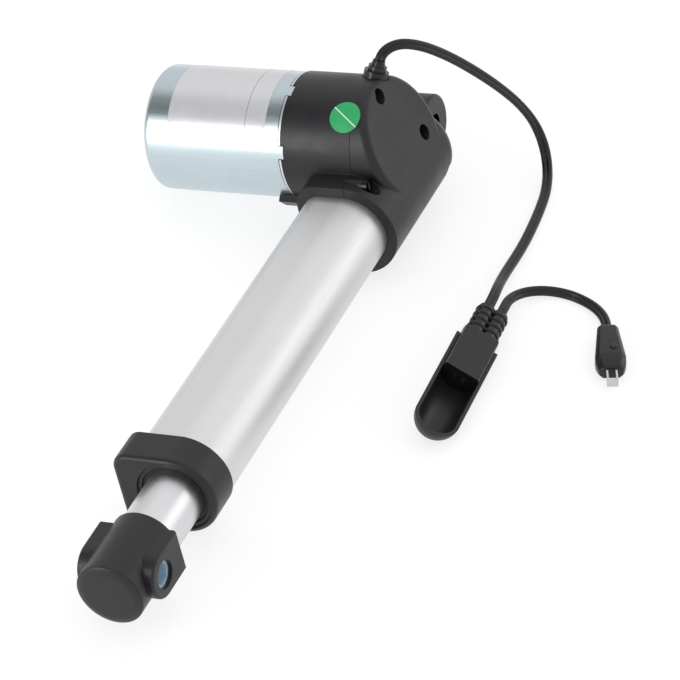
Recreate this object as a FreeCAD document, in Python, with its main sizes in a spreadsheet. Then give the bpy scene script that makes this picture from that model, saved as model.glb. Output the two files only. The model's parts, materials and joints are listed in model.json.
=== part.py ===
import FreeCAD, Part
import math
import os

import Sketcher
from FreeCAD import Placement, Rotation, Vector

# An electric linear actuator with its motor on one side, lying on a table.
# Working axes: X runs along the spindle towards the front eye, Y away from the motor,
# and the motor's axis lies parallel to Y, above the worm wheel. The whole actuator is
# then rolled about X until the motor's far rim and the gear housing both touch the table,
# and the frame's origin is put at the centre of the rear pivot.

doc = FreeCAD.newDocument("LinearActuator")
dim = doc.addObject("Spreadsheet::Sheet", "Dim")

DRIVING_SIZES = {
    # motor
    "motor_radius": 31.5,
    "can_wall": 1.8,
    "can_length": 77,
    "can_round": 3,
    "seam_reach": 36,
    "seam_gap": 0.4,
    "tab_depth": 1.6,
    "tab_width": 6.6,
    "tab_count": 6,
    "tab_turn": 12,
    "axis_offset": 24,
    "shaft_radius": 3,
    "plate_thick": 3.5,
    "pilot_radius": 10,
    "pilot_length": 6,
    "bush_radius": 5,
    "bush_length": 4.4,
    "bush_room": 0.1,
    "bush_step": 1,
    "rear_bush_length": 5,
    "shaft_past": 4,
    "shaft_room": 1,
    "boss_radius": 9,
    "boss_length": 4,
    "magnet_thick": 5.05,
    "magnet_overhang": 2,
    "magnet_gap": 14,
    "air_gap": 0.7,
    "coil_clear": 4.5,
    "coil_reach": 6,
    "coil_inset": 3.9,
    "brush_room": 19,
    "commutator_radius": 9,
    "commutator_length": 7,
    "brush_width": 5,
    "brush_length": 9,
    "card_thick": 2,
    "card_room": 1,
    "brush_inset": 1,
    # gear housing
    "bell_step": 0.5,
    "housing_wall": 4,
    "collar_side": 4,
    "collar_corner": 12,
    "collar_front": 44,
    "collar_rear": 37,
    "rear_round": 9,
    "face_slant": 20,
    "face_sink": 0.03,
    "face_round": 4.2,
    "parting_at": 1.5,
    "parting_gap": 0.15,
    "clip_turn": 133,
    "clip_width": 9,
    "clip_reach": 8.5,
    "clip_thick": 3.4,
    "clip_root": 8,
    "clip_base": 3,
    "worm_bore": 8.5,
    "worm_bore_end": 10,
    "wheel_room": 1.2,
    "chamber_half": 9,
    "screw_radius": 1.8,
    "screw_head_radius": 3.3,
    "screw_head_height": 2.4,
    "screw_reach": 12,
    "screw_room": 0.6,
    "top_screw_in": 6,
    "top_seat": 3.5,
    "front_screw_out": 4,
    "front_screw_up": 0.7,
    "front_seat": 9.5,
    "low_screw_back": 11,
    "low_screw_down": 12,
    "low_seat": 14,
    "back_screw_back": 7,
    "back_screw_up": 6,
    "back_seat": 9,
    "gland_turn": 24,
    "gland_lean": 15,
    "gland_sink": 2.5,
    "gland_foot": 7,
    "gland_neck": 3.6,
    "gland_collar": 6.2,
    "gland_collar_top": 2.6,
    "gland_step": 4.6,
    "gland_step_top": 5.2,
    "gland_lip": 0.5,
    "gland_reach": 8,
    "cord_radius": 2.5,
    "cord_grip": 4,
    "cord_lead": 2,
    # rear pivot
    "pivot_back": 50.5,
    "lug_radius": 15,
    "lug_half_width": 8,
    "lug_round": 1.5,
    "lug_root": 10,
    "pivot_bore": 5.1,
    "sleeve_wall": 1.5,
    # spindle and gear
    "journal_radius": 5,
    "journal_room": 3,
    "journal_past": 3,
    "wheel_seat": 6,
    "wheel_half": 6,
    "worm_radius": 3.9,
    "worm_half": 9.5,
    "bearing_radius": 13,
    "bearing_width": 8,
    "race_wall": 2.6,
    "ball_count": 9,
    "spindle_radius": 7,
    "spindle_short": 13,
    "spindle_room": 2,
    "stop_radius": 10,
    "stop_length": 3,
    "stop_inset": 0.5,
    # tubes and front end
    "stroke": 120,
    "stop_room": 20,
    "rod_room": 3.4,
    "flat_room": 1.9,
    "tube_corner": 9,
    "tube_wall": 2.2,
    "tube_rear": 22,
    "cap_skin": 1.2,
    "cap_side": 6.5,
    "cap_corner": 8,
    "cap_overlap": 8,
    "cap_nose": 10,
    "cap_round": 2.5,
    "cap_dish": 1.2,
    "cap_dish_rim": 1.6,
    "wiper_wall": 2.2,
    "wiper_width": 5,
    "wiper_recess": 2,
    "guide_length": 18,
    "rod_radius": 14,
    "rod_wall": 2,
    "nut_rear": 64,
    "nut_flange": 16,
    "nut_boss": 16,
    "eye_wall": 2,
    "eye_standoff": 29.5,
    "eye_length": 37.9,
    "eye_round": 4.5,
    "eye_socket": 8,
    "eye_bore_in": 19.5,
    "eye_recess": 2,
    "ear_half_width": 19,
    "ear_half_height": 11,
    "ear_setback": 3,
    "ear_round": 1.2,
    # limit switches
    "board_thick": 1.2,
    "board_half_width": 7,
    "board_rear": 44,
    "board_short": 22,
    "switch_length": 12,
    "switch_height": 2.5,
    "switch_half_width": 3.2,
    "plunger_radius": 0.8,
    "plunger_length": 1.2,
    # fits
    "seat_gap": 0.05,
    "running_gap": 0.08,
    "free_gap": 0.3,
    "tool_over": 1,
    # cord ends
    "branch_radius": 2,
    "neck_radius": 4.2,
    "neck_length": 18.5,
    "neck_apart": 7,
    "neck_drop": 1,
    "socket_length": 49.7,
    "socket_top": 3.7,
    "socket_round": 2,
    "shell_radius": 11.2,
    "shell_wall": 1.8,
    "shell_from": 24,
    "shell_length": 56,
    "plug_length": 30,
    "plug_rear_width": 10,
    "plug_front_width": 15,
    "plug_height": 10,
    "plug_bevel": 3,
    "blade_thick": 1,
    "blade_apart": 3.4,
    "blade_height": 4,
    "blade_length": 8,
}
DERIVED_SIZES = {
    "tube_radius": "rod_radius + rod_room + tube_wall",
    "tube_flat": "tube_radius + flat_room",
    "collar_flat": "tube_flat + collar_side",
    "cap_flat": "tube_flat + cap_side",
    "bell_radius": "motor_radius + bell_step",
    "core_radius": "motor_radius - can_wall - seat_gap - magnet_thick - air_gap",
    "core_from": "seam_reach + plate_thick + coil_reach + coil_clear",
    "core_to": "seam_reach + can_length - brush_room",
    "coil_radius": "core_radius - coil_inset",
    "wheel_radius": "axis_offset - worm_radius - free_gap",
    "chamber_radius": "wheel_radius + wheel_room",
    "collar_radius": "chamber_radius + housing_wall",
    "tube_front": "nut_rear + nut_flange + stroke + stop_room + guide_length",
    "spindle_front": "tube_front - spindle_short",
    "board_front": "tube_front - board_short",
    "cap_rear": "tube_front - cap_overlap",
    "cap_front": "tube_front + cap_nose",
    "wiper_radius": "rod_radius + wiper_wall",
    "eye_radius": "rod_radius + eye_wall",
    "eye_rear": "cap_front + eye_standoff",
    "eye_front": "eye_rear + eye_length",
    "eye_bore_at": "eye_rear + eye_bore_in",
    "ear_rear": "eye_rear + ear_setback",
}
for row, (alias, size) in enumerate(DRIVING_SIZES.items(), start=1):
    dim.set("A%d" % row, str(size))
    dim.setAlias("A%d" % row, alias)
doc.recompute()
for row, (alias, formula) in enumerate(DERIVED_SIZES.items(), start=1):
    dim.set("B%d" % row, "=" + formula)
    dim.setAlias("B%d" % row, alias)
    doc.recompute()
doc.recompute()

NODES = []


# Helpers for sketches, features and placements

def number(expression):
    """The present value of a sheet expression."""
    result = dim.evalExpression(expression)
    return float(getattr(result, "Value", result))


def bind(target, properties):
    """Ties properties of an object to sheet expressions."""
    for name, expression in properties.items():
        target.setExpression(name, expression)
    return target


def new_sketch(body, role, name, offset="0"):
    """A sketch on one of the body's own origin planes, moved along that plane's normal."""
    sketch = body.newObject("Sketcher::SketchObject", name)
    plane = next(f for f in body.Origin.OriginFeatures if f.Role == role)
    sketch.AttachmentSupport = [(plane, "")]
    sketch.MapMode = "FlatFace"
    sketch.setExpression("AttachmentOffset.Base.z", offset)
    return sketch


def pin(sketch, geometry, point, x, y):
    """Holds one point of a sketch at two sheet expressions."""
    for kind, expression in (("DistanceX", x), ("DistanceY", y)):
        held = Sketcher.Constraint(kind, -1, 1, geometry, point, number(expression))
        index = sketch.addConstraint(held)
        sketch.setExpression("Constraints[%d]" % index, expression)


def polygon(sketch, corners):
    """A closed outline of straight lines through corners given as expressions."""
    points = [Vector(number(x), number(y), 0) for x, y in corners]
    count = len(points)
    for i in range(count):
        sketch.addGeometry(Part.LineSegment(points[i], points[(i + 1) % count]))
    for i in range(count):
        sketch.addConstraint(Sketcher.Constraint("Coincident", i, 2, (i + 1) % count, 1))
    for i, (x, y) in enumerate(corners):
        pin(sketch, i, 1, x, y)


def new_body(name):
    return doc.addObject("PartDesign::Body", name)


def add_fillet(body, base, wanted, radius):
    """Rounds every edge of the last feature that the wanted test picks."""
    doc.recompute()
    names = ["Edge%d" % i for i, edge in enumerate(base.Shape.Edges, start=1) if wanted(edge)]
    fillet = body.newObject("PartDesign::Fillet", body.Name + "_round")
    fillet.Base = (base, names)
    fillet.setExpression("Radius", radius)
    return fillet


def turned(name, outline):
    """A solid of revolution about X, from (x, radius) expressions."""
    body = new_body(name)
    sketch = new_sketch(body, "XY_Plane", name + "_profile")
    polygon(sketch, outline)
    turn = body.newObject("PartDesign::Revolution", name + "_turn")
    turn.Profile = sketch
    turn.ReferenceAxis = (sketch, ["H_Axis"])
    turn.Angle = 360
    return body


def ring(name, start, end, outer, inner):
    """A plain turned ring about X."""
    return turned(name, [(start, inner), (start, outer), (end, outer), (end, inner)])


def padded(name, role, corners, length, offset="0"):
    """A straight-sided outline padded along its plane's normal."""
    body = new_body(name)
    sketch = new_sketch(body, role, name + "_profile", offset)
    polygon(sketch, corners)
    pad = body.newObject("PartDesign::Pad", name + "_pad")
    pad.Profile = sketch
    pad.setExpression("Length", length)
    return body


def d_bar(name, radius, flat, corner, start, end, rounded=None):
    """A bar along X whose section is half round on one side and flat on the motor's side.

    rounded may be (x, radius) for the end whose rim is rounded.
    """
    body = new_body(name)
    sketch = new_sketch(body, "YZ_Plane", name + "_profile", start)
    low, inset = "-(%s)" % radius, "(%s) - (%s)" % (radius, corner)
    side, shoulder = "-(%s)" % flat, "(%s) - (%s)" % (corner, flat)
    lines = [(("0", radius), (shoulder, radius)),
             ((side, inset), (side, "-(%s)" % inset)),
             ((shoulder, low), ("0", low))]
    for i, ends in enumerate(lines):
        sketch.addGeometry(Part.LineSegment(*[Vector(number(x), number(y), 0) for x, y in ends]))
        for point, (x, y) in enumerate(ends, start=1):
            pin(sketch, i, point, x, y)
    arcs = [((shoulder, inset), corner, 90), ((shoulder, "-(%s)" % inset), corner, 180),
            (("0", "0"), radius, 270)]
    for i, ((x, y), size, begin) in enumerate(arcs):
        circle = Part.Circle(Vector(number(x), number(y), 0), Vector(0, 0, 1), number(size))
        sweep = 180 if begin == 270 else 90
        arc = sketch.addGeometry(Part.ArcOfCircle(circle, math.radians(begin), math.radians(begin + sweep)))
        sketch.addConstraint(Sketcher.Constraint("Coincident", arc, 1, i, 2))
        sketch.addConstraint(Sketcher.Constraint("Coincident", arc, 2, (i + 1) % 3, 1))
        if begin == 270:
            sketch.addConstraint(Sketcher.Constraint("DistanceX", -1, 1, arc, 3, 0.0))
        else:
            index = sketch.addConstraint(Sketcher.Constraint("Radius", arc, number(size)))
            sketch.setExpression("Constraints[%d]" % index, size)
    pad = body.newObject("PartDesign::Pad", name + "_pad")
    pad.Profile = sketch
    pad.setExpression("Length", "(%s) - (%s)" % (end, start))
    if rounded:
        rim_x, rim_radius = rounded
        at = number(rim_x)
        add_fillet(body, pad, lambda edge: all(abs(v.X - at) < 1e-6 for v in edge.Vertexes), rim_radius)
    return body


AXIS_TURN = {
    "X": Rotation(Vector(0, 1, 0), 90),
    "Y": Rotation(Vector(1, 0, 0), -90),
    "Z": Rotation(),
}


def rod(name, axis, radius, length, at):
    """A plain cylinder along one axis from the point at."""
    solid = doc.addObject("Part::Cylinder", name)
    solid.Placement = Placement(Vector(), AXIS_TURN[axis])
    bind(solid, {"Radius": radius, "Height": length})
    return bind(solid, dict(zip(("Placement.Base.x", "Placement.Base.y", "Placement.Base.z"), at)))


def block(name, lengths, at):
    """A plain box with its low corner at the point at."""
    solid = doc.addObject("Part::Box", name)
    bind(solid, dict(zip(("Length", "Width", "Height"), lengths)))
    return bind(solid, dict(zip(("Placement.Base.x", "Placement.Base.y", "Placement.Base.z"), at)))


def fused(name, shapes, refine=False):
    """Joins shapes; refine also merges their level faces."""
    joined = doc.addObject("Part::MultiFuse", name)
    joined.Shapes = shapes
    joined.Refine = refine
    return joined


def cut(name, base, tool):
    left = doc.addObject("Part::Cut", name)
    left.Base = base
    left.Tool = tool
    left.Refine = False
    return left


def shared(name, first, second):
    both = doc.addObject("Part::MultiCommon", name)
    both.Shapes = [first, second]
    return both


def rounded(name, base, wanted, radius):
    """Rounds every edge of a plain solid that the wanted test picks."""
    doc.recompute()
    size = number(radius)
    fillet = doc.addObject("Part::Fillet", name)
    fillet.Base = base
    fillet.Edges = [(i, size, size) for i, edge in enumerate(base.Shape.Edges, start=1) if wanted(edge)]
    return fillet


def group(name, shapes):
    kit = doc.addObject("Part::Compound", name)
    kit.Links = shapes
    return kit


def rest_roll():
    """The roll at which the motor's far rim and the barrel's lower corner rest on one plane."""
    apart = number("Dim.seam_reach + Dim.can_length - Dim.can_round - Dim.collar_flat + Dim.collar_corner")
    rise = number("Dim.collar_radius - Dim.collar_corner - Dim.motor_radius + Dim.can_round"
                  " + Dim.axis_offset")
    swell = number("Dim.collar_corner - Dim.can_round")
    return math.asin(swell / math.hypot(apart, rise)) + math.atan2(rise, apart)


def table_depth():
    """How far the table lies below the spindle's axis at that roll."""
    side = number("Dim.collar_flat - Dim.collar_corner") * math.sin(rest_roll())
    down = number("Dim.collar_radius - Dim.collar_corner") * math.cos(rest_roll())
    return side + down + number("Dim.collar_corner")


ROLLED = Rotation(Vector(1, 0, 0), math.degrees(rest_roll()))
REST = Placement(Vector(number("Dim.pivot_back"), 0, 0), ROLLED)
MOTOR_AXES = Placement(Vector(0, 0, number("Dim.axis_offset")), Rotation(Vector(0, 0, 1), -90))
TABLE = -table_depth()


def keep(piece, label, local=Placement()):
    """Names a finished piece and puts it in the actuator's rest pose."""
    piece.Label = label
    piece.Placement = REST.multiply(local)
    NODES.append(piece)


def lay(piece, label, at=Vector(), turn=0.0):
    """Names a piece that lies on the table beside the actuator."""
    piece.Label = label
    piece.Placement = Placement(at, Rotation(Vector(0, 0, 1), turn))
    NODES.append(piece)


# Gear housing: one outer form, hollowed, then split on the plane through the cord gland

SCREW_SEATS = (
    ("0", "Dim.axis_offset + Dim.bell_radius - Dim.top_screw_in", "Dim.top_seat"),
    ("Dim.bell_radius + Dim.front_screw_out", "Dim.tube_radius + Dim.screw_radius + Dim.front_screw_up",
     "Dim.front_seat"),
    ("-Dim.chamber_half - Dim.bearing_width - Dim.low_screw_back", "-Dim.low_screw_down", "Dim.low_seat"),
    ("-Dim.chamber_half - Dim.back_screw_back", "Dim.bearing_radius + Dim.back_screw_up", "Dim.back_seat"),
)
FAR = "200"


def screw_tools(index, x, z, seat):
    """The pilot hole and the counterbore of one housing screw."""
    pilot = rod("pilot_%d" % index, "Y", "Dim.screw_radius + Dim.seat_gap",
                "Dim.screw_reach + %s + Dim.free_gap + Dim.tool_over" % seat,
                (x, "-Dim.screw_reach - Dim.free_gap", z))
    sink = rod("sink_%d" % index, "Y", "Dim.screw_head_radius + Dim.screw_room", FAR, (x, seat, z))
    return [pilot, sink]


def slant_tool():
    """The space beyond the slanted side face, which runs into the collar's round side."""
    lean = number("Dim.face_slant")
    slab = doc.addObject("Part::Box", "slant_tool")
    bind(slab, {"Length": "2 * " + FAR, "Width": FAR, "Height": "2 * " + FAR})
    turn = Rotation(Vector(1, 0, 0), lean)
    corner = Vector(-number(FAR), number("Dim.collar_radius - Dim.face_sink"), -number(FAR))
    slab.Placement = Placement(turn.multVec(corner), turn)
    return slab


def bell_form(edge):
    """The round head over the worm, cut by the slanted face, with that face's curved edge rounded."""
    bell = rod("bell", "Y", "Dim.bell_radius", "Dim.seam_reach + %s" % edge,
               ("0", "-Dim.seam_reach", "Dim.axis_offset"))
    flat = cut("bell_flat", bell, slant_tool())
    rim, seam = number(edge), number("Dim.tool_over - Dim.seam_reach")

    def on_face(edge_shape):
        curved = not isinstance(edge_shape.Curve, Part.Line)
        return curved and all(seam < v.Y <= rim + 1e-6 for v in edge_shape.Vertexes)

    return rounded("bell_form", flat, on_face, "Dim.face_round")


def pivot_lug():
    """The rear lug with softened edges."""
    across = "2 * Dim.lug_half_width"
    eye = rod("lug_eye", "Y", "Dim.lug_radius", across, ("-Dim.pivot_back", "-Dim.lug_half_width", "0"))
    reach = "Dim.pivot_back - Dim.collar_rear + Dim.lug_root"
    root = block("lug_block", (reach, across, "2 * Dim.lug_radius"),
                 ("-Dim.pivot_back", "-Dim.lug_half_width", "-Dim.lug_radius"))
    form = fused("lug_form", [eye, root], refine=True)
    side, inner = number("Dim.lug_half_width"), number("-Dim.collar_rear + Dim.lug_root")

    def flank(edge_shape):
        on_side = all(abs(abs(v.Y) - side) < 1e-6 for v in edge_shape.Vertexes)
        level = abs(edge_shape.Vertexes[0].Y - edge_shape.Vertexes[-1].Y) < 1e-6
        return on_side and level and not all(abs(v.X - inner) < 1e-6 for v in edge_shape.Vertexes)

    return rounded("lug", form, flank, "Dim.lug_round")


def round_motor(name, lengths, low, turn):
    """A box drawn above the motor's axis and turned about it: sideways, along the motor and outwards."""
    piece = doc.addObject("Part::Box", name)
    bind(piece, dict(zip(("Length", "Width", "Height"), lengths)))
    about = Rotation(Vector(0, 1, 0), turn)
    corner = Vector(-number(lengths[0]) / 2, number(low[0]), number(low[1]))
    piece.Placement = Placement(Vector(0, 0, number("Dim.axis_offset")) + about.multVec(corner), about)
    return piece


def tab_turns():
    count = int(number("Dim.tab_count"))
    return [number("Dim.tab_turn") + 360 * i / count for i in range(count)]


def gear_housing():
    edge = "(Dim.collar_radius * cos(Dim.face_slant * 1deg))"
    barrel = d_bar("barrel", "Dim.collar_radius", "Dim.collar_flat", "Dim.collar_corner",
                   "-Dim.collar_rear", "Dim.collar_front", ("-Dim.collar_rear", "Dim.rear_round"))
    clip = round_motor("can_clip", (
        "Dim.clip_width", "Dim.clip_reach + Dim.clip_root", "Dim.clip_thick + Dim.clip_base"),
        ("-Dim.seam_reach - Dim.clip_reach", "Dim.motor_radius + Dim.free_gap - Dim.clip_base"),
        number("Dim.clip_turn"))
    head = fused("head_form", [bell_form(edge), barrel])
    x, z, seat = SCREW_SEATS[1]
    boss = rod("front_boss", "Y", "Dim.screw_head_radius", seat, (x, "0", z))
    outer = fused("housing_form", [fused("lugged_form", [head, pivot_lug()]), clip, boss])

    tools = [
        rod("worm_tunnel", "Y", "Dim.worm_bore", "Dim.seam_reach + Dim.worm_bore_end",
            ("0", "-Dim.seam_reach", "Dim.axis_offset")),
        rod("pilot_seat", "Y", "Dim.pilot_radius + Dim.seat_gap", "Dim.pilot_length + Dim.free_gap",
            ("0", "-Dim.seam_reach", "Dim.axis_offset")),
        rod("end_bush_seat", "Y", "Dim.bush_radius + Dim.seat_gap", "Dim.bush_length + Dim.bush_room",
            ("0", "Dim.worm_bore_end", "Dim.axis_offset")),
        rod("wheel_chamber", "X", "Dim.chamber_radius", "2 * Dim.chamber_half",
            ("-Dim.chamber_half", "0", "0")),
        rod("bearing_seat", "X", "Dim.bearing_radius + Dim.seat_gap", "Dim.bearing_width",
            ("-Dim.chamber_half - Dim.bearing_width", "0", "0")),
        rod("journal_end", "X", "Dim.journal_radius + Dim.journal_room", "2 * Dim.journal_room",
            ("-Dim.chamber_half - Dim.bearing_width - 2 * Dim.journal_room", "0", "0")),
        rod("spindle_way", "X", "Dim.spindle_radius + Dim.spindle_room",
            "Dim.tube_rear - Dim.chamber_half + Dim.tool_over",
            ("Dim.chamber_half - Dim.tool_over / 2", "0", "0")),
        d_bar("tube_seat", "Dim.tube_radius + Dim.seat_gap", "Dim.tube_flat + Dim.seat_gap",
              "Dim.tube_corner", "Dim.tube_rear", "Dim.collar_front + Dim.tool_over"),
        rod("pivot_way", "Y", "Dim.pivot_bore + Dim.sleeve_wall + Dim.seat_gap",
            "2 * Dim.lug_half_width + 2 * Dim.tool_over",
            ("-Dim.pivot_back", "-Dim.lug_half_width - Dim.tool_over", "0")),
        rod("can_way", "Y", "Dim.motor_radius + Dim.free_gap", "Dim.can_length",
            ("0", "-Dim.seam_reach - Dim.can_length", "Dim.axis_offset")),
    ]
    gland_ways = (("gland_way", "Dim.gland_neck + Dim.seat_gap", "-Dim.gland_foot - Dim.tool_over"),
                  ("gland_spot", "Dim.gland_collar + Dim.free_gap", "-Dim.gland_sink"))
    for name, radius, low in gland_ways:
        way = doc.addObject("Part::Cylinder", name)
        bind(way, {"Radius": radius, "Height": "Dim.gland_foot + Dim.gland_reach"})
        way.Placement = gland_axes(number(low))
        tools.append(way)
    for index, (x, z, seat) in enumerate(SCREW_SEATS):
        tools += screw_tools(index, x, z, seat)
    for index, turn in enumerate(tab_turns()):
        tools.append(round_motor("notch_%d" % index, (
            "Dim.tab_width + 2 * Dim.free_gap", "2 * Dim.tab_depth", "Dim.can_wall + 2 * Dim.bell_step"),
            ("-Dim.seam_reach - Dim.tab_depth", "Dim.motor_radius - Dim.can_wall - Dim.bell_step"), turn))
    hollow = cut("housing", outer, fused("housing_tools", tools))
    motor_side = block("motor_side", ("2 * " + FAR, FAR, "2 * " + FAR),
                       ("-" + FAR, "Dim.parting_at - " + FAR, "-" + FAR))
    cover_side = block("cover_side", ("2 * " + FAR, FAR, "2 * " + FAR),
                       ("-" + FAR, "Dim.parting_at + Dim.parting_gap", "-" + FAR))
    keep(shared("motor_half", hollow, motor_side), "gearbox_motor_half")
    keep(shared("cover_half", hollow, cover_side), "gearbox_cover_half")


def gland_axes(out):
    """Axes along the leaning cord gland: Z points out of the bell, from its skin plus out."""
    turn = Rotation(Vector(0, 1, 0), -number("Dim.gland_turn"))
    lean = turn.multiply(Rotation(Vector(1, 0, 0), -number("Dim.gland_lean")))
    centre = Vector(0, number("Dim.parting_at"), number("Dim.axis_offset"))
    skin = centre + turn.multVec(Vector(0, 0, number("Dim.bell_radius")))
    return Placement(skin + lean.multVec(Vector(0, 0, out)), lean)


def housing_screws():
    screws = []
    for index, (x, z, seat) in enumerate(SCREW_SEATS):
        shank = rod("shank_%d" % index, "Y", "Dim.screw_radius", "Dim.screw_reach + %s" % seat,
                    (x, "-Dim.screw_reach", z))
        head = rod("head_%d" % index, "Y", "Dim.screw_head_radius", "Dim.screw_head_height", (x, seat, z))
        screws.append(fused("screw_%d" % index, [shank, head]))
    keep(group("screws", screws), "housing_screws")


def pivot_sleeve():
    body = ring("pivot_ring", "-Dim.lug_half_width", "Dim.lug_half_width",
                "Dim.pivot_bore + Dim.sleeve_wall", "Dim.pivot_bore")
    across = Placement(Vector(-number("Dim.pivot_back"), 0, 0), Rotation(Vector(0, 0, 1), 90))
    keep(body, "rear_pivot_sleeve", across)


def cord_gland():
    foot, seat = "-Dim.gland_foot", "-Dim.gland_sink"
    bore = "Dim.cord_radius + Dim.seat_gap"
    outline = [(foot, bore), (foot, "Dim.gland_neck"), (seat, "Dim.gland_neck"), (seat, "Dim.gland_collar"),
               ("Dim.gland_collar_top", "Dim.gland_collar"), ("Dim.gland_collar_top", "Dim.gland_step"),
               ("Dim.gland_step_top", "Dim.gland_step"), ("Dim.gland_step_top", "Dim.gland_neck"),
               ("Dim.gland_reach", "Dim.cord_radius + Dim.gland_lip"), ("Dim.gland_reach", bore)]
    body = turned("gland", outline)
    upright = Placement(Vector(), Rotation(Vector(0, 1, 0), -90))
    keep(body, "cord_gland", gland_axes(0).multiply(upright))


# Motor: the working X runs out along the motor's axis, from the plane of the spindle

def motor_can():
    mouth = "Dim.seam_reach + Dim.seam_gap"
    end = "Dim.seam_reach + Dim.can_length"
    inner = "Dim.motor_radius - Dim.can_wall"
    boss_end, boss_inner = end + " + Dim.boss_length", "Dim.boss_radius - Dim.can_wall"
    outline = [(mouth, inner), (mouth, "Dim.motor_radius"), (end, "Dim.motor_radius"),
               (end, "Dim.boss_radius"), (boss_end, "Dim.boss_radius"), (boss_end, "0"),
               (boss_end + " - Dim.can_wall", "0"), (boss_end + " - Dim.can_wall", boss_inner),
               (end + " - Dim.can_wall", boss_inner), (end + " - Dim.can_wall", inner)]
    body = turned("can", outline)
    at, rim = number(end), number("Dim.motor_radius")

    def far_rim(edge):
        return all(abs(v.X - at) < 1e-6 and abs(math.hypot(v.Y, v.Z) - rim) < 1e-6 for v in edge.Vertexes)

    add_fillet(body, body.Tip, far_rim, "Dim.can_round")
    collar = ring("tab_ring", "Dim.seam_reach - Dim.tab_depth + Dim.free_gap", mouth + " + Dim.tool_over",
                  "Dim.motor_radius", inner)
    fingers = []
    for index, turn in enumerate(tab_turns()):
        finger = doc.addObject("Part::Box", "finger_%d" % index)
        bind(finger, {"Length": "Dim.seam_reach", "Width": "Dim.tab_width",
                      "Height": "Dim.can_wall + 4 * Dim.tool_over"})
        about = Rotation(Vector(1, 0, 0), -turn)
        corner = Vector(number("Dim.seam_reach / 2"), number("-Dim.tab_width / 2"),
                        number(inner + " - 2 * Dim.tool_over"))
        finger.Placement = Placement(about.multVec(corner), about)
        fingers.append(finger)
    tabs = shared("can_tabs", collar, fused("can_fingers", fingers))
    keep(fused("can_piece", [body, tabs]), "motor_can", MOTOR_AXES)


def motor_front_plate():
    rim = "Dim.motor_radius - Dim.can_wall - Dim.seat_gap"
    outline = [("Dim.seam_reach - Dim.pilot_length", "Dim.bush_radius + Dim.seat_gap"),
               ("Dim.seam_reach - Dim.pilot_length", "Dim.pilot_radius"),
               ("Dim.seam_reach", "Dim.pilot_radius"), ("Dim.seam_reach", rim),
               ("Dim.seam_reach + Dim.plate_thick", rim),
               ("Dim.seam_reach + Dim.plate_thick", "Dim.bush_radius + Dim.seat_gap")]
    keep(turned("front_plate", outline), "motor_front_plate", MOTOR_AXES)


def motor_bushes():
    bore = "Dim.shaft_radius + Dim.running_gap"
    front = ring("front_bush", "Dim.seam_reach - Dim.pilot_length + Dim.bush_step",
                 "Dim.seam_reach + Dim.plate_thick", "Dim.bush_radius", bore)
    rear_end = "Dim.seam_reach + Dim.can_length + Dim.boss_length - Dim.can_wall"
    rear = ring("rear_bush", rear_end + " - Dim.rear_bush_length", rear_end,
                "Dim.boss_radius - Dim.can_wall - Dim.seat_gap", bore)
    end = ring("end_bush", "-Dim.worm_bore_end - Dim.bush_length", "-Dim.worm_bore_end",
               "Dim.bush_radius", bore)
    keep(group("bushes", [front, rear, end]), "shaft_bushes", MOTOR_AXES)


def motor_magnets():
    tube = ring("magnet_ring", "Dim.core_from - Dim.magnet_overhang", "Dim.core_to + Dim.magnet_overhang",
                "Dim.motor_radius - Dim.can_wall - Dim.seat_gap", "Dim.core_radius + Dim.air_gap")
    split = block("magnet_split", (FAR, FAR, "Dim.magnet_gap"),
                  ("0", "-%s / 2" % FAR, "-Dim.magnet_gap / 2"))
    keep(cut("magnets", tube, split), "motor_magnets", MOTOR_AXES)


def armature():
    bore = "Dim.shaft_radius + Dim.seat_gap / 2"
    rear_end = "Dim.seam_reach + Dim.can_length + Dim.boss_length - Dim.can_wall - Dim.shaft_room"
    front_end = "-Dim.worm_bore_end - Dim.shaft_past"
    shaft = turned("shaft", [(front_end, "0"), (front_end, "Dim.shaft_radius"),
                             (rear_end, "Dim.shaft_radius"), (rear_end, "0")])
    keep(shaft, "motor_shaft", MOTOR_AXES)
    worm = ring("worm_form", "-Dim.worm_half", "Dim.worm_half", "Dim.worm_radius", bore)
    keep(worm, "worm", MOTOR_AXES)
    core = ring("core", "Dim.core_from", "Dim.core_to", "Dim.core_radius", bore)
    keep(core, "armature_core", MOTOR_AXES)
    front = ring("front_coil", "Dim.core_from - Dim.coil_reach", "Dim.core_from", "Dim.coil_radius", bore)
    rear = ring("rear_coil", "Dim.core_to", "Dim.core_to + Dim.coil_reach", "Dim.coil_radius", bore)
    keep(group("coils", [front, rear]), "armature_windings", MOTOR_AXES)
    start = "Dim.core_to + Dim.coil_reach"
    keep(ring("segments", start, start + " + Dim.commutator_length", "Dim.commutator_radius", bore),
         "commutator", MOTOR_AXES)


def brush_gear():
    start = "Dim.core_to + Dim.coil_reach + Dim.brush_inset"
    blocks = []
    for index, low in enumerate(("Dim.commutator_radius + Dim.running_gap",
                                 "-Dim.commutator_radius - Dim.running_gap - Dim.brush_length")):
        blocks.append(block("brush_%d" % index, (
            "Dim.commutator_length - Dim.brush_inset", "Dim.brush_width", "Dim.brush_length"),
            (start, "-Dim.brush_width / 2", low)))
    keep(group("brush_pair", blocks), "brushes", MOTOR_AXES)
    card = ring("card", "Dim.core_to + Dim.coil_reach + Dim.commutator_length",
                "Dim.core_to + Dim.coil_reach + Dim.commutator_length + Dim.card_thick",
                "Dim.motor_radius - Dim.can_wall - Dim.seat_gap", "Dim.commutator_radius + Dim.card_room")
    keep(card, "brush_card", MOTOR_AXES)


# Spindle with its wheel and bearing

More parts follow.
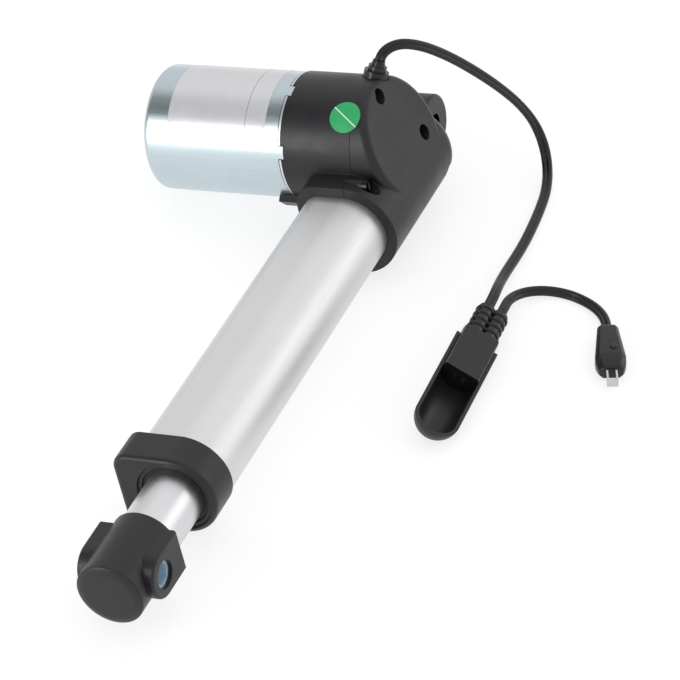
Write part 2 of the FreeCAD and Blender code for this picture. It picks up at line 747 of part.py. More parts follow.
def spindle():
    back = "-Dim.chamber_half - Dim.bearing_width"
    rear_end = back + " - Dim.journal_past"
    outline = [(rear_end, "0"), (rear_end, "Dim.journal_radius"),
               ("-Dim.chamber_half", "Dim.journal_radius"), ("-Dim.chamber_half", "Dim.wheel_seat"),
               ("Dim.wheel_half", "Dim.wheel_seat"), ("Dim.wheel_half", "Dim.spindle_radius"),
               ("Dim.spindle_front", "Dim.spindle_radius"), ("Dim.spindle_front", "Dim.journal_radius"),
               ("Dim.spindle_front + Dim.stop_length", "Dim.journal_radius"),
               ("Dim.spindle_front + Dim.stop_length", "0")]
    keep(turned("screw", outline), "lead_screw")
    wheel = ring("wheel", "-Dim.wheel_half", "Dim.wheel_half", "Dim.wheel_radius",
                 "Dim.wheel_seat + Dim.seat_gap / 2")
    keep(wheel, "worm_wheel")
    stop = ring("stop", "Dim.spindle_front", "Dim.spindle_front + Dim.stop_length - Dim.stop_inset",
                "Dim.stop_radius", "Dim.journal_radius + Dim.seat_gap / 2")
    keep(stop, "spindle_stop")


def spindle_bearing():
    back = "-Dim.chamber_half - Dim.bearing_width"
    front = "-Dim.chamber_half"
    outer = ring("outer_race", back, front, "Dim.bearing_radius", "Dim.bearing_radius - Dim.race_wall")
    keep(outer, "bearing_outer_race")
    inner = ring("inner_race", back, front, "Dim.journal_radius + Dim.race_wall",
                 "Dim.journal_radius + Dim.seat_gap / 2")
    keep(inner, "bearing_inner_race")
    pitch = number("(Dim.bearing_radius + Dim.journal_radius) / 2")
    balls = []
    count = int(number("Dim.ball_count"))
    for i in range(count):
        turn = 2 * math.pi * i / count
        ball = doc.addObject("Part::Sphere", "ball_%d" % i)
        ball.setExpression("Radius", "(Dim.bearing_radius - Dim.journal_radius) / 2 - Dim.race_wall"
                                     " - Dim.running_gap")
        ball.Placement.Base = Vector(number("-Dim.chamber_half - Dim.bearing_width / 2"),
                                     pitch * math.cos(turn), pitch * math.sin(turn))
        balls.append(ball)
    keep(group("balls", balls), "bearing_balls")


# Outer tube, front cap and what guides the rod

def outer_tube():
    skin = d_bar("tube_form", "Dim.tube_radius", "Dim.tube_flat", "Dim.tube_corner",
                 "Dim.tube_rear", "Dim.tube_front")
    bore = d_bar("tube_bore", "Dim.tube_radius - Dim.tube_wall", "Dim.tube_flat - Dim.tube_wall",
                 "Dim.tube_corner - Dim.tube_wall", "Dim.tube_rear - Dim.tool_over",
                 "Dim.tube_front + Dim.tool_over")
    keep(cut("tube", skin, bore), "outer_tube")


def front_cap():
    skin = d_bar("cap_form", "Dim.tube_radius + Dim.cap_skin", "Dim.cap_flat", "Dim.cap_corner",
                 "Dim.cap_rear", "Dim.cap_front", ("Dim.cap_front", "Dim.cap_round"))
    seat = d_bar("cap_seat", "Dim.tube_radius + Dim.seat_gap", "Dim.tube_flat + Dim.seat_gap",
                 "Dim.tube_corner", "Dim.cap_rear - Dim.tool_over", "Dim.tube_front")
    way = rod("cap_way", "X", "Dim.rod_radius + 2 * Dim.free_gap", FAR,
              ("Dim.cap_rear - Dim.tool_over", "0", "0"))
    wiper_seat = rod("wiper_seat", "X", "Dim.wiper_radius + Dim.seat_gap", FAR,
                     ("Dim.cap_front - Dim.wiper_recess - Dim.wiper_width", "0", "0"))
    deep, past = "Dim.cap_front - Dim.cap_dish", "Dim.cap_front + Dim.tool_over"
    dish_rim = "Dim.wiper_radius + Dim.cap_dish_rim"
    dish = turned("cap_dish", [(deep, "0"), (deep, dish_rim),
                               (past, dish_rim + " + Dim.tool_over"), (past, "0")])
    bored = cut("cap_bored", cut("cap_shell", skin, seat), way)
    keep(cut("cap", cut("cap_dished", bored, dish), wiper_seat), "front_cap")
    slides = "Dim.rod_radius + Dim.running_gap"
    keep(ring("wiper", "Dim.cap_front - Dim.wiper_recess - Dim.wiper_width",
              "Dim.cap_front - Dim.wiper_recess", "Dim.wiper_radius", slides), "wiper_ring")
    keep(ring("guide", "Dim.tube_front - Dim.guide_length", "Dim.tube_front",
              "Dim.tube_radius - Dim.tube_wall - Dim.seat_gap", slides), "rod_guide")


# Limit switches in the tube's flat side

def limit_switches():
    floor = "-Dim.tube_flat + Dim.tube_wall + Dim.seat_gap"
    board = block("board", (
        "Dim.board_front - Dim.board_rear", "Dim.board_thick", "2 * Dim.board_half_width"),
        ("Dim.board_rear", floor, "-Dim.board_half_width"))
    keep(group("board_piece", [board]), "limit_switch_board")
    deck = floor + " + Dim.board_thick"
    reach = "(Dim.switch_length + Dim.plunger_length + Dim.free_gap)"
    rear = ("Dim.nut_rear - " + reach, "Dim.nut_rear - Dim.plunger_length - Dim.free_gap")
    stop = "Dim.nut_rear + Dim.nut_flange + Dim.stroke + Dim.free_gap"
    front = (stop + " + Dim.plunger_length", stop)
    pair = []
    for index, (body_at, plunger_at) in enumerate((rear, front)):
        body = block("switch_%d" % index, (
            "Dim.switch_length", "Dim.switch_height", "2 * Dim.switch_half_width"),
            (body_at, deck, "-Dim.switch_half_width"))
        plunger = rod("plunger_%d" % index, "X", "Dim.plunger_radius", "Dim.plunger_length",
                      (plunger_at, deck + " + Dim.switch_height / 2", "0"))
        pair.append(fused("switch_piece_%d" % index, [body, plunger]))
    keep(group("switch_pair", pair), "limit_switches")


# Sliding rod with its nut and front eye

def sliding_rod():
    flange = "Dim.tube_radius - Dim.tube_wall - Dim.free_gap"
    seat = "Dim.nut_rear + Dim.nut_flange"
    bore = "Dim.spindle_radius + Dim.running_gap"
    plug = "Dim.rod_radius - Dim.rod_wall - Dim.seat_gap / 2"
    nut = turned("nut", [("Dim.nut_rear", bore), ("Dim.nut_rear", flange), (seat, flange), (seat, plug),
                         (seat + " + Dim.nut_boss", plug), (seat + " + Dim.nut_boss", bore)])
    keep(nut, "drive_nut")
    tube_end = "Dim.eye_rear + Dim.eye_socket"
    keep(ring("rod_tube", seat, tube_end, "Dim.rod_radius", "Dim.rod_radius - Dim.rod_wall"), "inner_tube")


def front_eye():
    barrel = turned("eye_barrel", [("Dim.eye_rear", "0"), ("Dim.eye_rear", "Dim.eye_radius"),
                                   ("Dim.eye_front", "Dim.eye_radius"), ("Dim.eye_front", "0")])
    at = number("Dim.eye_front")
    add_fillet(barrel, barrel.Tip, lambda edge: all(abs(v.X - at) < 1e-6 for v in edge.Vertexes),
               "Dim.eye_round")
    ear = block("ear_block", (
        "Dim.eye_bore_at - Dim.ear_rear", "2 * Dim.ear_half_width", "2 * Dim.ear_half_height"),
        ("Dim.ear_rear", "-Dim.ear_half_width", "-Dim.ear_half_height"))
    nose = rod("ear_nose", "Y", "Dim.ear_half_height", "2 * Dim.ear_half_width",
               ("Dim.eye_bore_at", "-Dim.ear_half_width", "0"))
    socket = rod("eye_socket", "X", "Dim.rod_radius + Dim.seat_gap", "Dim.eye_socket + Dim.tool_over",
                 ("Dim.eye_rear - Dim.tool_over", "0", "0"))
    way = rod("eye_way", "Y", "Dim.pivot_bore + Dim.sleeve_wall + Dim.seat_gap / 2",
              "2 * Dim.ear_half_width + 2 * Dim.tool_over",
              ("Dim.eye_bore_at", "-Dim.ear_half_width - Dim.tool_over", "0"))
    ears = fused("ear_form", [ear, nose], refine=True)
    side, back = number("Dim.ear_half_width"), number("Dim.ear_rear")

    def flank(edge):
        on_side = all(abs(abs(v.Y) - side) < 1e-6 for v in edge.Vertexes)
        level = abs(edge.Vertexes[0].Y - edge.Vertexes[-1].Y) < 1e-6
        return on_side and level and not all(abs(v.X - back) < 1e-6 for v in edge.Vertexes)

    form = fused("eye_form", [barrel, rounded("ear_soft", ears, flank, "Dim.ear_round")])
    keep(cut("eye", form, fused("eye_tools", [socket, way])), "front_eye")
    half = "(Dim.ear_half_width - Dim.eye_recess)"
    sleeve = ring("eye_ring", "-" + half, half, "Dim.pivot_bore + Dim.sleeve_wall", "Dim.pivot_bore")
    across = Rotation(Vector(0, 0, 1), 90)
    keep(sleeve, "eye_sleeve", Placement(Vector(number("Dim.eye_bore_at"), 0, 0), across))


# Cords, socket and plug on the table, in the frame of the finished part

SOCKET_AT = (109.4, 80.75)
SOCKET_TURN = 1.8
SOCKET_ROLL = -25
PLUG_AT = (97, 134, -22.7)
PLUG_TURN = 23
MAIN_ROUTE = (
    (29, -4.5, 64.5), (24.8, 0.2, 65.3), (19.8, 5.2, 62.7), (14.2, 10.6, 58.2), (6.5, 18, 49.9),
    (-0.5, 25.2, 40.8), (-6.9, 32.4, 31.4), (-12.8, 39.6, 21.5), (-17.9, 46.5, 11.1), (-20.7, 53.4, -0.2),
    (-18.6, 59.7, -11.8), (-10.7, 64.7, -21.2), (1.6, 68.1, -24.5), (15, 70, -24.6), (28.5, 71.3, -24.6),
    (42, 72.2, -24.5), (55, 72.7, -23.7), (68, 73, -22.1), (80.5, 73.9, -19.6), (91.5, 75.6, -16.6),
    (101, 76.9, -15.4))
BRANCH_ROUTE = (
    (103.3, 83.3, -18.4), (92.9, 82.2, -20.4), (83.2, 86, -22.5), (76.4, 94, -24.3), (74, 104.4, -25.2),
    (76.1, 114.9, -25.1), (81.5, 124.1, -24.2), (89.6, 130.9, -22.7))


ARC_SHARE = 0.45


def cord_tube(name, label, points, radius):
    """A round tube along straight runs joined by the largest tangent arcs that fit."""
    edges = []
    radii = []
    last = points[0]
    for before, corner, after in zip(points, points[1:], points[2:]):
        back = before - corner
        ahead = after - corner
        reach = ARC_SHARE * min(back.Length, ahead.Length)
        back.normalize()
        ahead.normalize()
        turn = math.pi - back.getAngle(ahead)
        radii.append(reach / math.tan(turn / 2))
        start = corner + back * reach
        end = corner + ahead * reach
        middle_way = (back + ahead).normalize()
        middle = corner + middle_way * (radii[-1] / math.cos(turn / 2) - radii[-1])
        edges.append(Part.LineSegment(last, start).toShape())
        edges.append(Part.Arc(start, middle, end).toShape())
        last = end
    edges.append(Part.LineSegment(last, points[-1]).toShape())
    path = Part.Wire(edges)
    section = Part.Wire([Part.Circle(points[0], points[1] - points[0], radius).toShape()])
    solid = path.makePipeShell([section], True, True)
    print(label, "length", round(path.Length, 1), "radii", [round(r, 1) for r in radii],
          "volume ratio", round(solid.Volume / (math.pi * radius ** 2 * path.Length), 4))
    tube = doc.addObject("Part::Feature", name)
    tube.Shape = solid
    lay(tube, label)


def socket_frame():
    """The socket's axis: it lies on its round belly, rolled to one side."""
    base = Vector(SOCKET_AT[0], SOCKET_AT[1], TABLE + number("Dim.shell_radius"))
    return Placement(base, Rotation(Vector(0, 0, 1), SOCKET_TURN) * Rotation(Vector(1, 0, 0), SOCKET_ROLL))


def neck_end(side):
    """Where a lead enters the socket's neck."""
    return socket_frame().multVec(Vector(0, side * number("Dim.neck_apart") / 2, -number("Dim.neck_drop")))


def cords():
    in_gland = REST.multVec(gland_axes(number("Dim.gland_reach - Dim.cord_grip")).Base)
    past_gland = REST.multVec(gland_axes(number("Dim.gland_reach + Dim.cord_lead")).Base)
    main = [in_gland, past_gland] + [Vector(*p) for p in MAIN_ROUTE] + [neck_end(-1)]
    cord_tube("main_lead", "main_cord", main, number("Dim.cord_radius"))
    branch = [neck_end(1)] + [Vector(*p) for p in BRANCH_ROUTE + (PLUG_AT,)]
    cord_tube("branch_lead", "branch_cord", branch, number("Dim.branch_radius"))


def half_capsule(name, radius, start, end, top):
    """The lower half of a bar along X with a ball at its far end, up to the height top."""
    bar = rod(name + "_bar", "X", radius, "(%s) - (%s)" % (end, start), (start, "0", "0"))
    ball = doc.addObject("Part::Sphere", name + "_ball")
    bind(ball, {"Radius": radius, "Placement.Base.x": end})
    lid = block(name + "_lid", (FAR, FAR, FAR), ("0", "-%s / 2" % FAR, top))
    return cut(name, fused(name + "_form", [bar, ball]), lid)


def y_socket():
    """The moulding where the lead divides: two necks and the round-bellied socket that takes a plug."""
    belly = "Dim.shell_radius - Dim.shell_wall - Dim.seat_gap"
    body = rod("socket_belly", "X", belly, "Dim.socket_length - Dim.neck_length",
               ("Dim.neck_length", "0", "0"))
    lid = block("socket_lid", (FAR, FAR, FAR), ("0", "-%s / 2" % FAR, "Dim.socket_top"))
    back = number("Dim.neck_length")
    soft = rounded("socket_body", cut("socket_flat", body, lid),
                   lambda edge: all(abs(v.X - back) < 1e-6 for v in edge.Vertexes), "Dim.socket_round")
    pieces = [soft]
    for index, side in enumerate(("-Dim.neck_apart / 2", "Dim.neck_apart / 2")):
        pieces.append(rod("neck_%d" % index, "X", "Dim.neck_radius",
                          "Dim.neck_length + 2 * Dim.socket_round", ("0", side, "-Dim.neck_drop")))
    piece = fused("socket_form", pieces)
    piece.Label = "y_socket"
    piece.Placement = socket_frame()
    NODES.append(piece)


def socket_shell():
    """The open boat-shaped trough that shields the joined plug, clipped round the socket."""
    far_end = "Dim.shell_from + Dim.shell_length"
    hull = half_capsule("shell_hull", "Dim.shell_radius", "Dim.shell_from", far_end, "0")
    room = half_capsule("shell_room", "Dim.shell_radius - Dim.shell_wall", "Dim.shell_from - Dim.tool_over",
                        far_end, "Dim.shell_radius")
    piece = cut("shell", hull, room)
    piece.Label = "socket_shell"
    piece.Placement = socket_frame()
    NODES.append(piece)


def plug():
    """The loose plug: a tapered, bevelled body with a pair of flat contacts."""
    rear, front = "Dim.plug_rear_width / 2", "Dim.plug_front_width / 2"
    nose = "Dim.plug_length - Dim.plug_bevel"
    outline = [("0", "-" + rear), ("0", rear), (nose, front),
               ("Dim.plug_length", front + " - Dim.plug_bevel"),
               ("Dim.plug_length", "Dim.plug_bevel - " + front), (nose, "-" + front)]
    body = padded("plug_form", "XY_Plane", outline, "Dim.plug_height")
    top = number("Dim.plug_height")
    add_fillet(body, body.Tip, lambda edge: all(abs(v.Z - top) < 1e-6 for v in edge.Vertexes),
               "Dim.plug_bevel / 2")
    lay(body, "plug_body", Vector(PLUG_AT[0], PLUG_AT[1], TABLE), PLUG_TURN)
    low = "(Dim.plug_height - Dim.blade_height) / 2"
    blades = []
    far_side = "-Dim.blade_apart / 2 - Dim.blade_thick"
    for index, side in enumerate((far_side, "Dim.blade_apart / 2")):
        blades.append(block("blade_%d" % index, ("Dim.blade_length", "Dim.blade_thick", "Dim.blade_height"),
                            ("Dim.plug_length", side, low)))
    blades.append(block("blade_tip", (
        "Dim.blade_thick", "Dim.blade_apart + 2 * Dim.blade_thick", "Dim.blade_height"),
        ("Dim.plug_length + Dim.blade_length - Dim.blade_thick", far_side, low)))
    lay(fused("blade_loop", blades), "plug_contacts", Vector(PLUG_AT[0], PLUG_AT[1], TABLE), PLUG_TURN)


gear_housing()
housing_screws()
pivot_sleeve()
cord_gland()
motor_can()
motor_front_plate()
motor_bushes()
motor_magnets()
armature()
brush_gear()
spindle()
spindle_bearing()
outer_tube()
front_cap()
limit_switches()
sliding_rod()
front_eye()
cords()
y_socket()
socket_shell()
plug()

doc.recompute()
failed = [item.Name + " " + item.getStatusString() for item in doc.Objects
          if "Invalid" in item.State or "Error" in item.State]
if failed:
    raise RuntimeError("not built: " + ", ".join(failed))
for piece in NODES:
    if piece.Shape.isNull() or not piece.Shape.isValid() or not piece.Shape.Solids:
        raise RuntimeError("no valid solid: " + piece.Label)
os.makedirs("parts", exist_ok=True)
for piece in NODES:
    piece.Shape.exportStep("parts/%s.step" % piece.Label)
print("roll", round(math.degrees(rest_roll()), 3), "table", round(TABLE, 3), "pieces", len(NODES),
      "solids", sum(len(p.Shape.Solids) for p in NODES))
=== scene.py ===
# %% [markdown]
# # Electric linear actuator
#
# A small direct-current motor sits on the side of a worm gearbox. The gearbox turns a lead screw inside a
# flat-sided aluminium tube, and a nut on that screw pushes the rod with the pivot eye. This lesson dresses
# the imported CAD parts: each cell makes one finish or one piece, and every piece rides on the CAD body
# that it belongs to. The frame comes first. Its box is noted before anything is added, and it is printed at
# the end.

# %% The frame
import json
import math
import bmesh
import bpy
from mathutils import Matrix, Vector


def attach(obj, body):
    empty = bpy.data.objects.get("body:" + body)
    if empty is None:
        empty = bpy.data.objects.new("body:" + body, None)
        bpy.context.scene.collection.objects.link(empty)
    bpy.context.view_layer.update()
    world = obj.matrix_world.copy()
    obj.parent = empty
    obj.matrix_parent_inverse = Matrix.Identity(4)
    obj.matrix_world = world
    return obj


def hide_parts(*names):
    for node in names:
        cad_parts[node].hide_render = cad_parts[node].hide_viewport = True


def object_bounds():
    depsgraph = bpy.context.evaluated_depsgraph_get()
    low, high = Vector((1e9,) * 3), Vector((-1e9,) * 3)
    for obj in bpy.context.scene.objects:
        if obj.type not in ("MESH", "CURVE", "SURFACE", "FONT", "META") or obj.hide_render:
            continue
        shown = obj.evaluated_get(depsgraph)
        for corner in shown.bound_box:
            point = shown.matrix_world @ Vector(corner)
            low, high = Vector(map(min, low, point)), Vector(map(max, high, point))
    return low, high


MM = 0.001
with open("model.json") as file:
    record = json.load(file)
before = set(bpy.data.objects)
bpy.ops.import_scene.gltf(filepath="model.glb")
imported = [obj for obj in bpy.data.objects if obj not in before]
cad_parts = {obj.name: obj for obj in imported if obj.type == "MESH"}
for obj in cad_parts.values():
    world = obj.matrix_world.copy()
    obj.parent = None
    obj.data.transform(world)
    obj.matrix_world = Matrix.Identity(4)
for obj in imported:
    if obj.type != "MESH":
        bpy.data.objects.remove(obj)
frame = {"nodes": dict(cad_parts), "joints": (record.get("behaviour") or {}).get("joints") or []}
cad_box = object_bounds()
nodes = frame["nodes"]
print("CAD nodes:", len(nodes))

# %% [markdown]
# The actuator lies rolled on the table, so its own axes are turned about X. The motor's joint tells by
# how much: its axis is the motor's direction. Pieces could be drawn straight in the frame, but upright
# sizes are easier to read, so they are drawn in the actuator's own axes, in millimetres, and carried over
# once.

# %% The actuator's own axes
motor_joint = next(j for j in frame["joints"] if j["name"] == "armature_spin")
roll = math.atan2(-motor_joint["axis"][2], -motor_joint["axis"][1])
pivot_to_motor = motor_joint["pos_m"][0]
axis_offset = math.hypot(motor_joint["pos_m"][1], motor_joint["pos_m"][2])
actuator_axes = Matrix.Translation((pivot_to_motor, 0, 0)) @ Matrix.Rotation(roll, 4, "X")
table_height = cad_box[0][2]
print("roll %.2f degrees, table at %.1f mm" % (math.degrees(roll), table_height / MM))

# %% [markdown]
# Colours are written as the hex values that a screen shows. Blender mixes light in linear values, so one
# function turns them. Another adds a node with its settings and its links, and every material and every
# node tree is made with that.

# %% Colours and nodes
def linear(hex_colour):
    """An sRGB hex colour as linear red, green, blue and alpha."""
    parts = [int(hex_colour[i:i + 2], 16) / 255 for i in (1, 3, 5)]
    return tuple(c / 12.92 if c <= 0.04045 else ((c + 0.055) / 1.055) ** 2.4 for c in parts) + (1.0,)


def add_node(tree, kind, settings=None, inputs=None):
    """Adds a node, sets its properties, and sets or links its inputs by name or number."""
    node = tree.nodes.new(kind)
    for name, value in (settings or {}).items():
        setattr(node, name, value)
    for key, value in (inputs or {}).items():
        if isinstance(value, bpy.types.NodeSocket):
            tree.links.new(value, node.inputs[key])
        else:
            node.inputs[key].default_value = value
    return node


print("a screen's mid grey is %.2f in linear light" % linear("#808080")[0])

# %% [markdown]
# No real surface is one flat colour. Each finish here has two close tones, a roughness that drifts a
# little where hands and tools have polished it, and a fine relief. No mould or press leaves a knife edge,
# so a Bevel node rounds the shading at edges by a fraction of a millimetre. One function gives all this
# to a shader, and each finish brings its own noises to drive it. A noise gathers round its middle, so
# only that band is read.

# %% Surfaces
NOISE_LOW = 0.3
NOISE_HIGH = 0.7
EDGE_SAMPLES = 4
CLOUD_DETAIL = 3.0
GRAIN_DETAIL = 2.0


def new_material(name):
    """An empty material with its shader and output, and object coordinates to draw patterns on."""
    material = bpy.data.materials.new(name)
    material.use_nodes = True
    tree = material.node_tree
    tree.nodes.clear()
    shader = add_node(tree, "ShaderNodeBsdfPrincipled")
    add_node(tree, "ShaderNodeOutputMaterial", inputs={"Surface": shader.outputs["BSDF"]})
    place = add_node(tree, "ShaderNodeTexCoord").outputs["Object"]
    return material, tree, shader, place


def dress(tree, shader, tones, tone_by, roughness, drift, rough_by, height, strength, depth_mm, edge_mm):
    """Gives a shader two tones, a drifting roughness and a fine relief, each driven by a noise."""
    low, high = tones
    shade = add_node(tree, "ShaderNodeMix", {"data_type": "RGBA"}, {
        "Factor": tone_by, 6: linear(low), 7: linear(high)})
    tree.links.new(shade.outputs[2], shader.inputs["Base Color"])
    gloss = add_node(tree, "ShaderNodeMapRange", inputs={
        "Value": rough_by, "From Min": NOISE_LOW, "From Max": NOISE_HIGH,
        "To Min": roughness - drift, "To Max": roughness + drift})
    tree.links.new(gloss.outputs["Result"], shader.inputs["Roughness"])
    soft_edge = add_node(tree, "ShaderNodeBevel", {"samples": EDGE_SAMPLES}, {"Radius": edge_mm * MM})
    bump = add_node(tree, "ShaderNodeBump", inputs={
        "Height": height, "Strength": strength, "Distance": depth_mm * MM,
        "Normal": soft_edge.outputs["Normal"]})
    tree.links.new(bump.outputs["Normal"], shader.inputs["Normal"])


print("noise is read from %.1f to %.1f" % (NOISE_LOW, NOISE_HIGH))

# %% [markdown]
# Moulded plastics and rubbers share a recipe: a cloudy colour and a fine grain from the spark-eroded
# mould. The real grain is near a tenth of a millimetre, too fine to show at this size, so it is drawn
# about half a millimetre wide. A noise in object coordinates gives both, and needs no map on the CAD
# meshes.

# %% Moulded plastics
PLASTIC_IOR = 1.46
PLASTIC_CLOUD = 14
PLASTIC_DRIFT = 0.05
PLASTIC_RELIEF = 0.6


def moulded(name, low, high, roughness, grain_mm, depth_mm, edge_mm=0.5):
    """A plastic or rubber with two tones and a moulded grain."""
    material, tree, shader, place = new_material(name)
    cloud = add_node(tree, "ShaderNodeTexNoise", inputs={
        "Vector": place, "Scale": 1 / (PLASTIC_CLOUD * MM), "Detail": CLOUD_DETAIL}).outputs["Fac"]
    grain = add_node(tree, "ShaderNodeTexNoise", inputs={
        "Vector": place, "Scale": 1 / (grain_mm * MM), "Detail": GRAIN_DETAIL}).outputs["Fac"]
    dress(tree, shader, (low, high), tone_by=cloud, roughness=roughness, drift=PLASTIC_DRIFT,
          rough_by=cloud, height=grain, strength=PLASTIC_RELIEF, depth_mm=depth_mm, edge_mm=edge_mm)
    shader.inputs["IOR"].default_value = PLASTIC_IOR
    return material


# Glass-filled nylon from a spark-eroded mould: near black, satin, with a fine even grain
black_nylon = moulded("black_glass_filled_nylon", "#131316", "#1d1c21", 0.42, 0.45, 0.05)
# Soft PVC of the gland, the leads and the plug: blacker, smoother and a little glossier
black_pvc = moulded("black_soft_pvc", "#0c0c0f", "#131316", 0.3, 0.6, 0.02, 0.3)
# Nitrile rubber of the wiper ring: dull
wiper_rubber = moulded("nitrile_wiper_rubber", "#0b0b0c", "#121213", 0.6, 0.5, 0.03, 0.3)
# Acetal of the nut, the wheel and the guide: milky white
acetal = moulded("natural_acetal", "#d9d7cc", "#e8e6dd", 0.38, 0.8, 0.02)
# Laminate of the switch board and the brush card: green lacquer over glass cloth
laminate = moulded("green_glass_laminate", "#1c4a2b", "#26603a", 0.35, 0.9, 0.02, 0.1)
# Ferrite of the magnets and carbon of the brushes: dark grey, sintered and dull
ferrite = moulded("sintered_ferrite", "#2b2b2c", "#3a393a", 0.65, 0.35, 0.04, 0.2)
print("moulded finishes from", black_nylon.name, "to", ferrite.name)

# %% [markdown]
# Metals take their look from how they were worked. A drawn or extruded surface has faint lines along the
# way it slid through the tool, so the noise is stretched along that axis. Real lines lie a tenth of a
# millimetre apart or less, too fine to show here, so they are drawn coarser. The base colour is the
# metal's own reflection.

# %% Worked metals
METAL_CLOUD = 22
METAL_DRIFT = 0.04
METAL_RELIEF = 0.4
METAL_EDGE = 0.4
CLOUD_SHARE = 0.5


def worked_metal(name, low, high, roughness, line_mm, depth_mm,
                 along=None, stretch=1, turn=0.0, metallic=1.0):
    """A metal with two tones and fine marks, stretched to lines along the axis that it was drawn on."""
    material, tree, shader, place = new_material(name)
    scale = [1 / (line_mm * MM)] * 3
    if along is not None:
        scale[along] = 1 / (line_mm * stretch * MM)
    upright = add_node(tree, "ShaderNodeMapping", inputs={"Vector": place, "Rotation": (-turn, 0.0, 0.0)})
    drawn = add_node(tree, "ShaderNodeMapping", inputs={
        "Vector": upright.outputs["Vector"], "Scale": scale})
    lines = add_node(tree, "ShaderNodeTexNoise", inputs={
        "Vector": drawn.outputs["Vector"], "Scale": 1.0, "Detail": GRAIN_DETAIL}).outputs["Fac"]
    cloud = add_node(tree, "ShaderNodeTexNoise", inputs={
        "Vector": place, "Scale": 1 / (METAL_CLOUD * MM), "Detail": CLOUD_DETAIL}).outputs["Fac"]
    blend = add_node(tree, "ShaderNodeMix", {"data_type": "FLOAT"}, {0: CLOUD_SHARE, 2: lines, 3: cloud})
    dress(tree, shader, (low, high), tone_by=blend.outputs[0], roughness=roughness, drift=METAL_DRIFT,
          rough_by=lines, height=lines, strength=METAL_RELIEF, depth_mm=depth_mm, edge_mm=METAL_EDGE)
    shader.inputs["Metallic"].default_value = metallic
    return material


# Zinc-plated steel of the motor can, drawn along its axis: bright, with the blue tint of its passivation
zinc_plate = worked_metal("zinc_plated_steel", "#bccad1", "#ccd8dd", 0.3, 2.4, 0.0015,
                          along=1, stretch=24, turn=roll)
# Extruded aluminium, anodised: satin, with faint lines along the tube
anodised = worked_metal("anodised_aluminium", "#d9d9da", "#e1e1e2", 0.47, 0.7, 0.003,
                        along=0, stretch=80)
# Drawn aluminium of the rod: the same metal, smoother from sliding in its guide
slid_aluminium = worked_metal("drawn_aluminium", "#d4d4d6", "#dedee0", 0.36, 0.7, 0.001,
                              along=0, stretch=80)
# Blue-passivated sleeve in the front eye: its matt chromate film scatters some light
passivated = worked_metal("blue_passivated_steel", "#b4d2e0", "#c9e2ec", 0.32, 0.6, 0.004, metallic=0.4)
# Black-oxidised steel of the screws and the rear sleeve: dark, with an oily glint. It also paints the shade
# in the gap at the motor's front plate
black_oxide_and_gap_shade = worked_metal("black_oxidised_steel_and_gap_shade", "#2b2c2e", "#3a3b3d", 0.3, 0.5, 0.006)
# Ground steel of the shaft, the screw and the bearing: grey, smooth and bright
ground_steel = worked_metal("ground_steel", "#a9acaf", "#bfc2c4", 0.25, 0.4, 0.005)
# Sheared steel at the edge of the motor's front plate: bare, pale and a little rough
sheared_steel = worked_metal("sheared_steel", "#d2d6d8", "#e2e6e8", 0.4, 0.3, 0.004)
# Sintered bronze of the shaft's bushes: brown gold and finely pitted
bronze = worked_metal("sintered_bronze", "#8a6a3c", "#a8834c", 0.4, 0.3, 0.02)
# Enamelled copper of the windings and the commutator: warm red brown, with a clear gloss
copper = worked_metal("enamelled_copper", "#9c5326", "#b96d35", 0.3, 0.5, 0.02)
# Tinned brass of the plug's contacts: pale, bright and smooth
tinned = worked_metal("tinned_brass", "#b9b9b4", "#d0d0cc", 0.2, 0.4, 0.005)
print("metal finishes from", zinc_plate.name, "to", tinned.name)

# %% [markdown]
# Most CAD nodes have the right shape already, so they keep it and only change their finish. A table from
# finish to nodes shows at a glance what is made of what.

# %% Finish of the CAD nodes
NODE_FINISH = {
    black_nylon: ("gearbox_motor_half", "gearbox_cover_half", "front_cap", "limit_switches", "front_eye",
                  "socket_shell"),
    black_pvc: ("cord_gland", "main_cord", "branch_cord", "y_socket", "plug_body"),
    wiper_rubber: ("wiper_ring",),
    zinc_plate: ("motor_can", "motor_front_plate"),
    black_oxide_and_gap_shade: ("housing_screws", "rear_pivot_sleeve"),
    passivated: ("eye_sleeve",),
    anodised: ("outer_tube",),
    slid_aluminium: ("inner_tube",),
    ground_steel: ("motor_shaft", "worm", "armature_core", "lead_screw", "spindle_stop",
                   "bearing_inner_race", "bearing_outer_race", "bearing_balls"),
    bronze: ("shaft_bushes",),
    copper: ("armature_windings", "commutator"),
    tinned: ("plug_contacts",),
    ferrite: ("motor_magnets", "brushes"),
    laminate: ("limit_switch_board", "brush_card"),
    acetal: ("worm_wheel", "drive_nut", "rod_guide"),
}
for finish, names in NODE_FINISH.items():
    for name in names:
        nodes[name].data.materials.clear()
        nodes[name].data.materials.append(finish)
print("finished nodes:", sum(len(names) for names in NODE_FINISH.values()))

# %% [markdown]
# Some pieces are drawn here. Each is a bmesh in its final place, and one function closes it off: it turns
# the faces outwards, sets the finish and lets the piece ride on its body. Many of them are lofts, rows of
# points that go once round and are joined by faces, so that is a function too.

# %% Pieces
def stand(name, data, body):
    """Puts a finished mesh into the scene as a piece that rides on a body."""
    piece = bpy.data.objects.new(name, data)
    bpy.context.scene.collection.objects.link(piece)
    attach(piece, body)
    return piece


def new_piece(name, mesh, finish, body):
    """Makes a piece from a bmesh that is drawn in place."""
    bmesh.ops.recalc_face_normals(mesh, faces=mesh.faces)
    data = bpy.data.meshes.new(name)
    mesh.to_mesh(data)
    mesh.free()
    data.shade_smooth()
    data.materials.append(finish)
    return stand(name, data, body)


def loft(mesh, rows):
    """Joins rows of points by faces, each row to the next, and closes both ends."""
    count = len(rows[0])
    for here, there in zip(rows, rows[1:]):
        for k in range(count):
            after = (k + 1) % count
            mesh.faces.new((here[k], here[after], there[after], there[k]))
    mesh.faces.new(rows[0][::-1])
    mesh.faces.new(rows[-1])


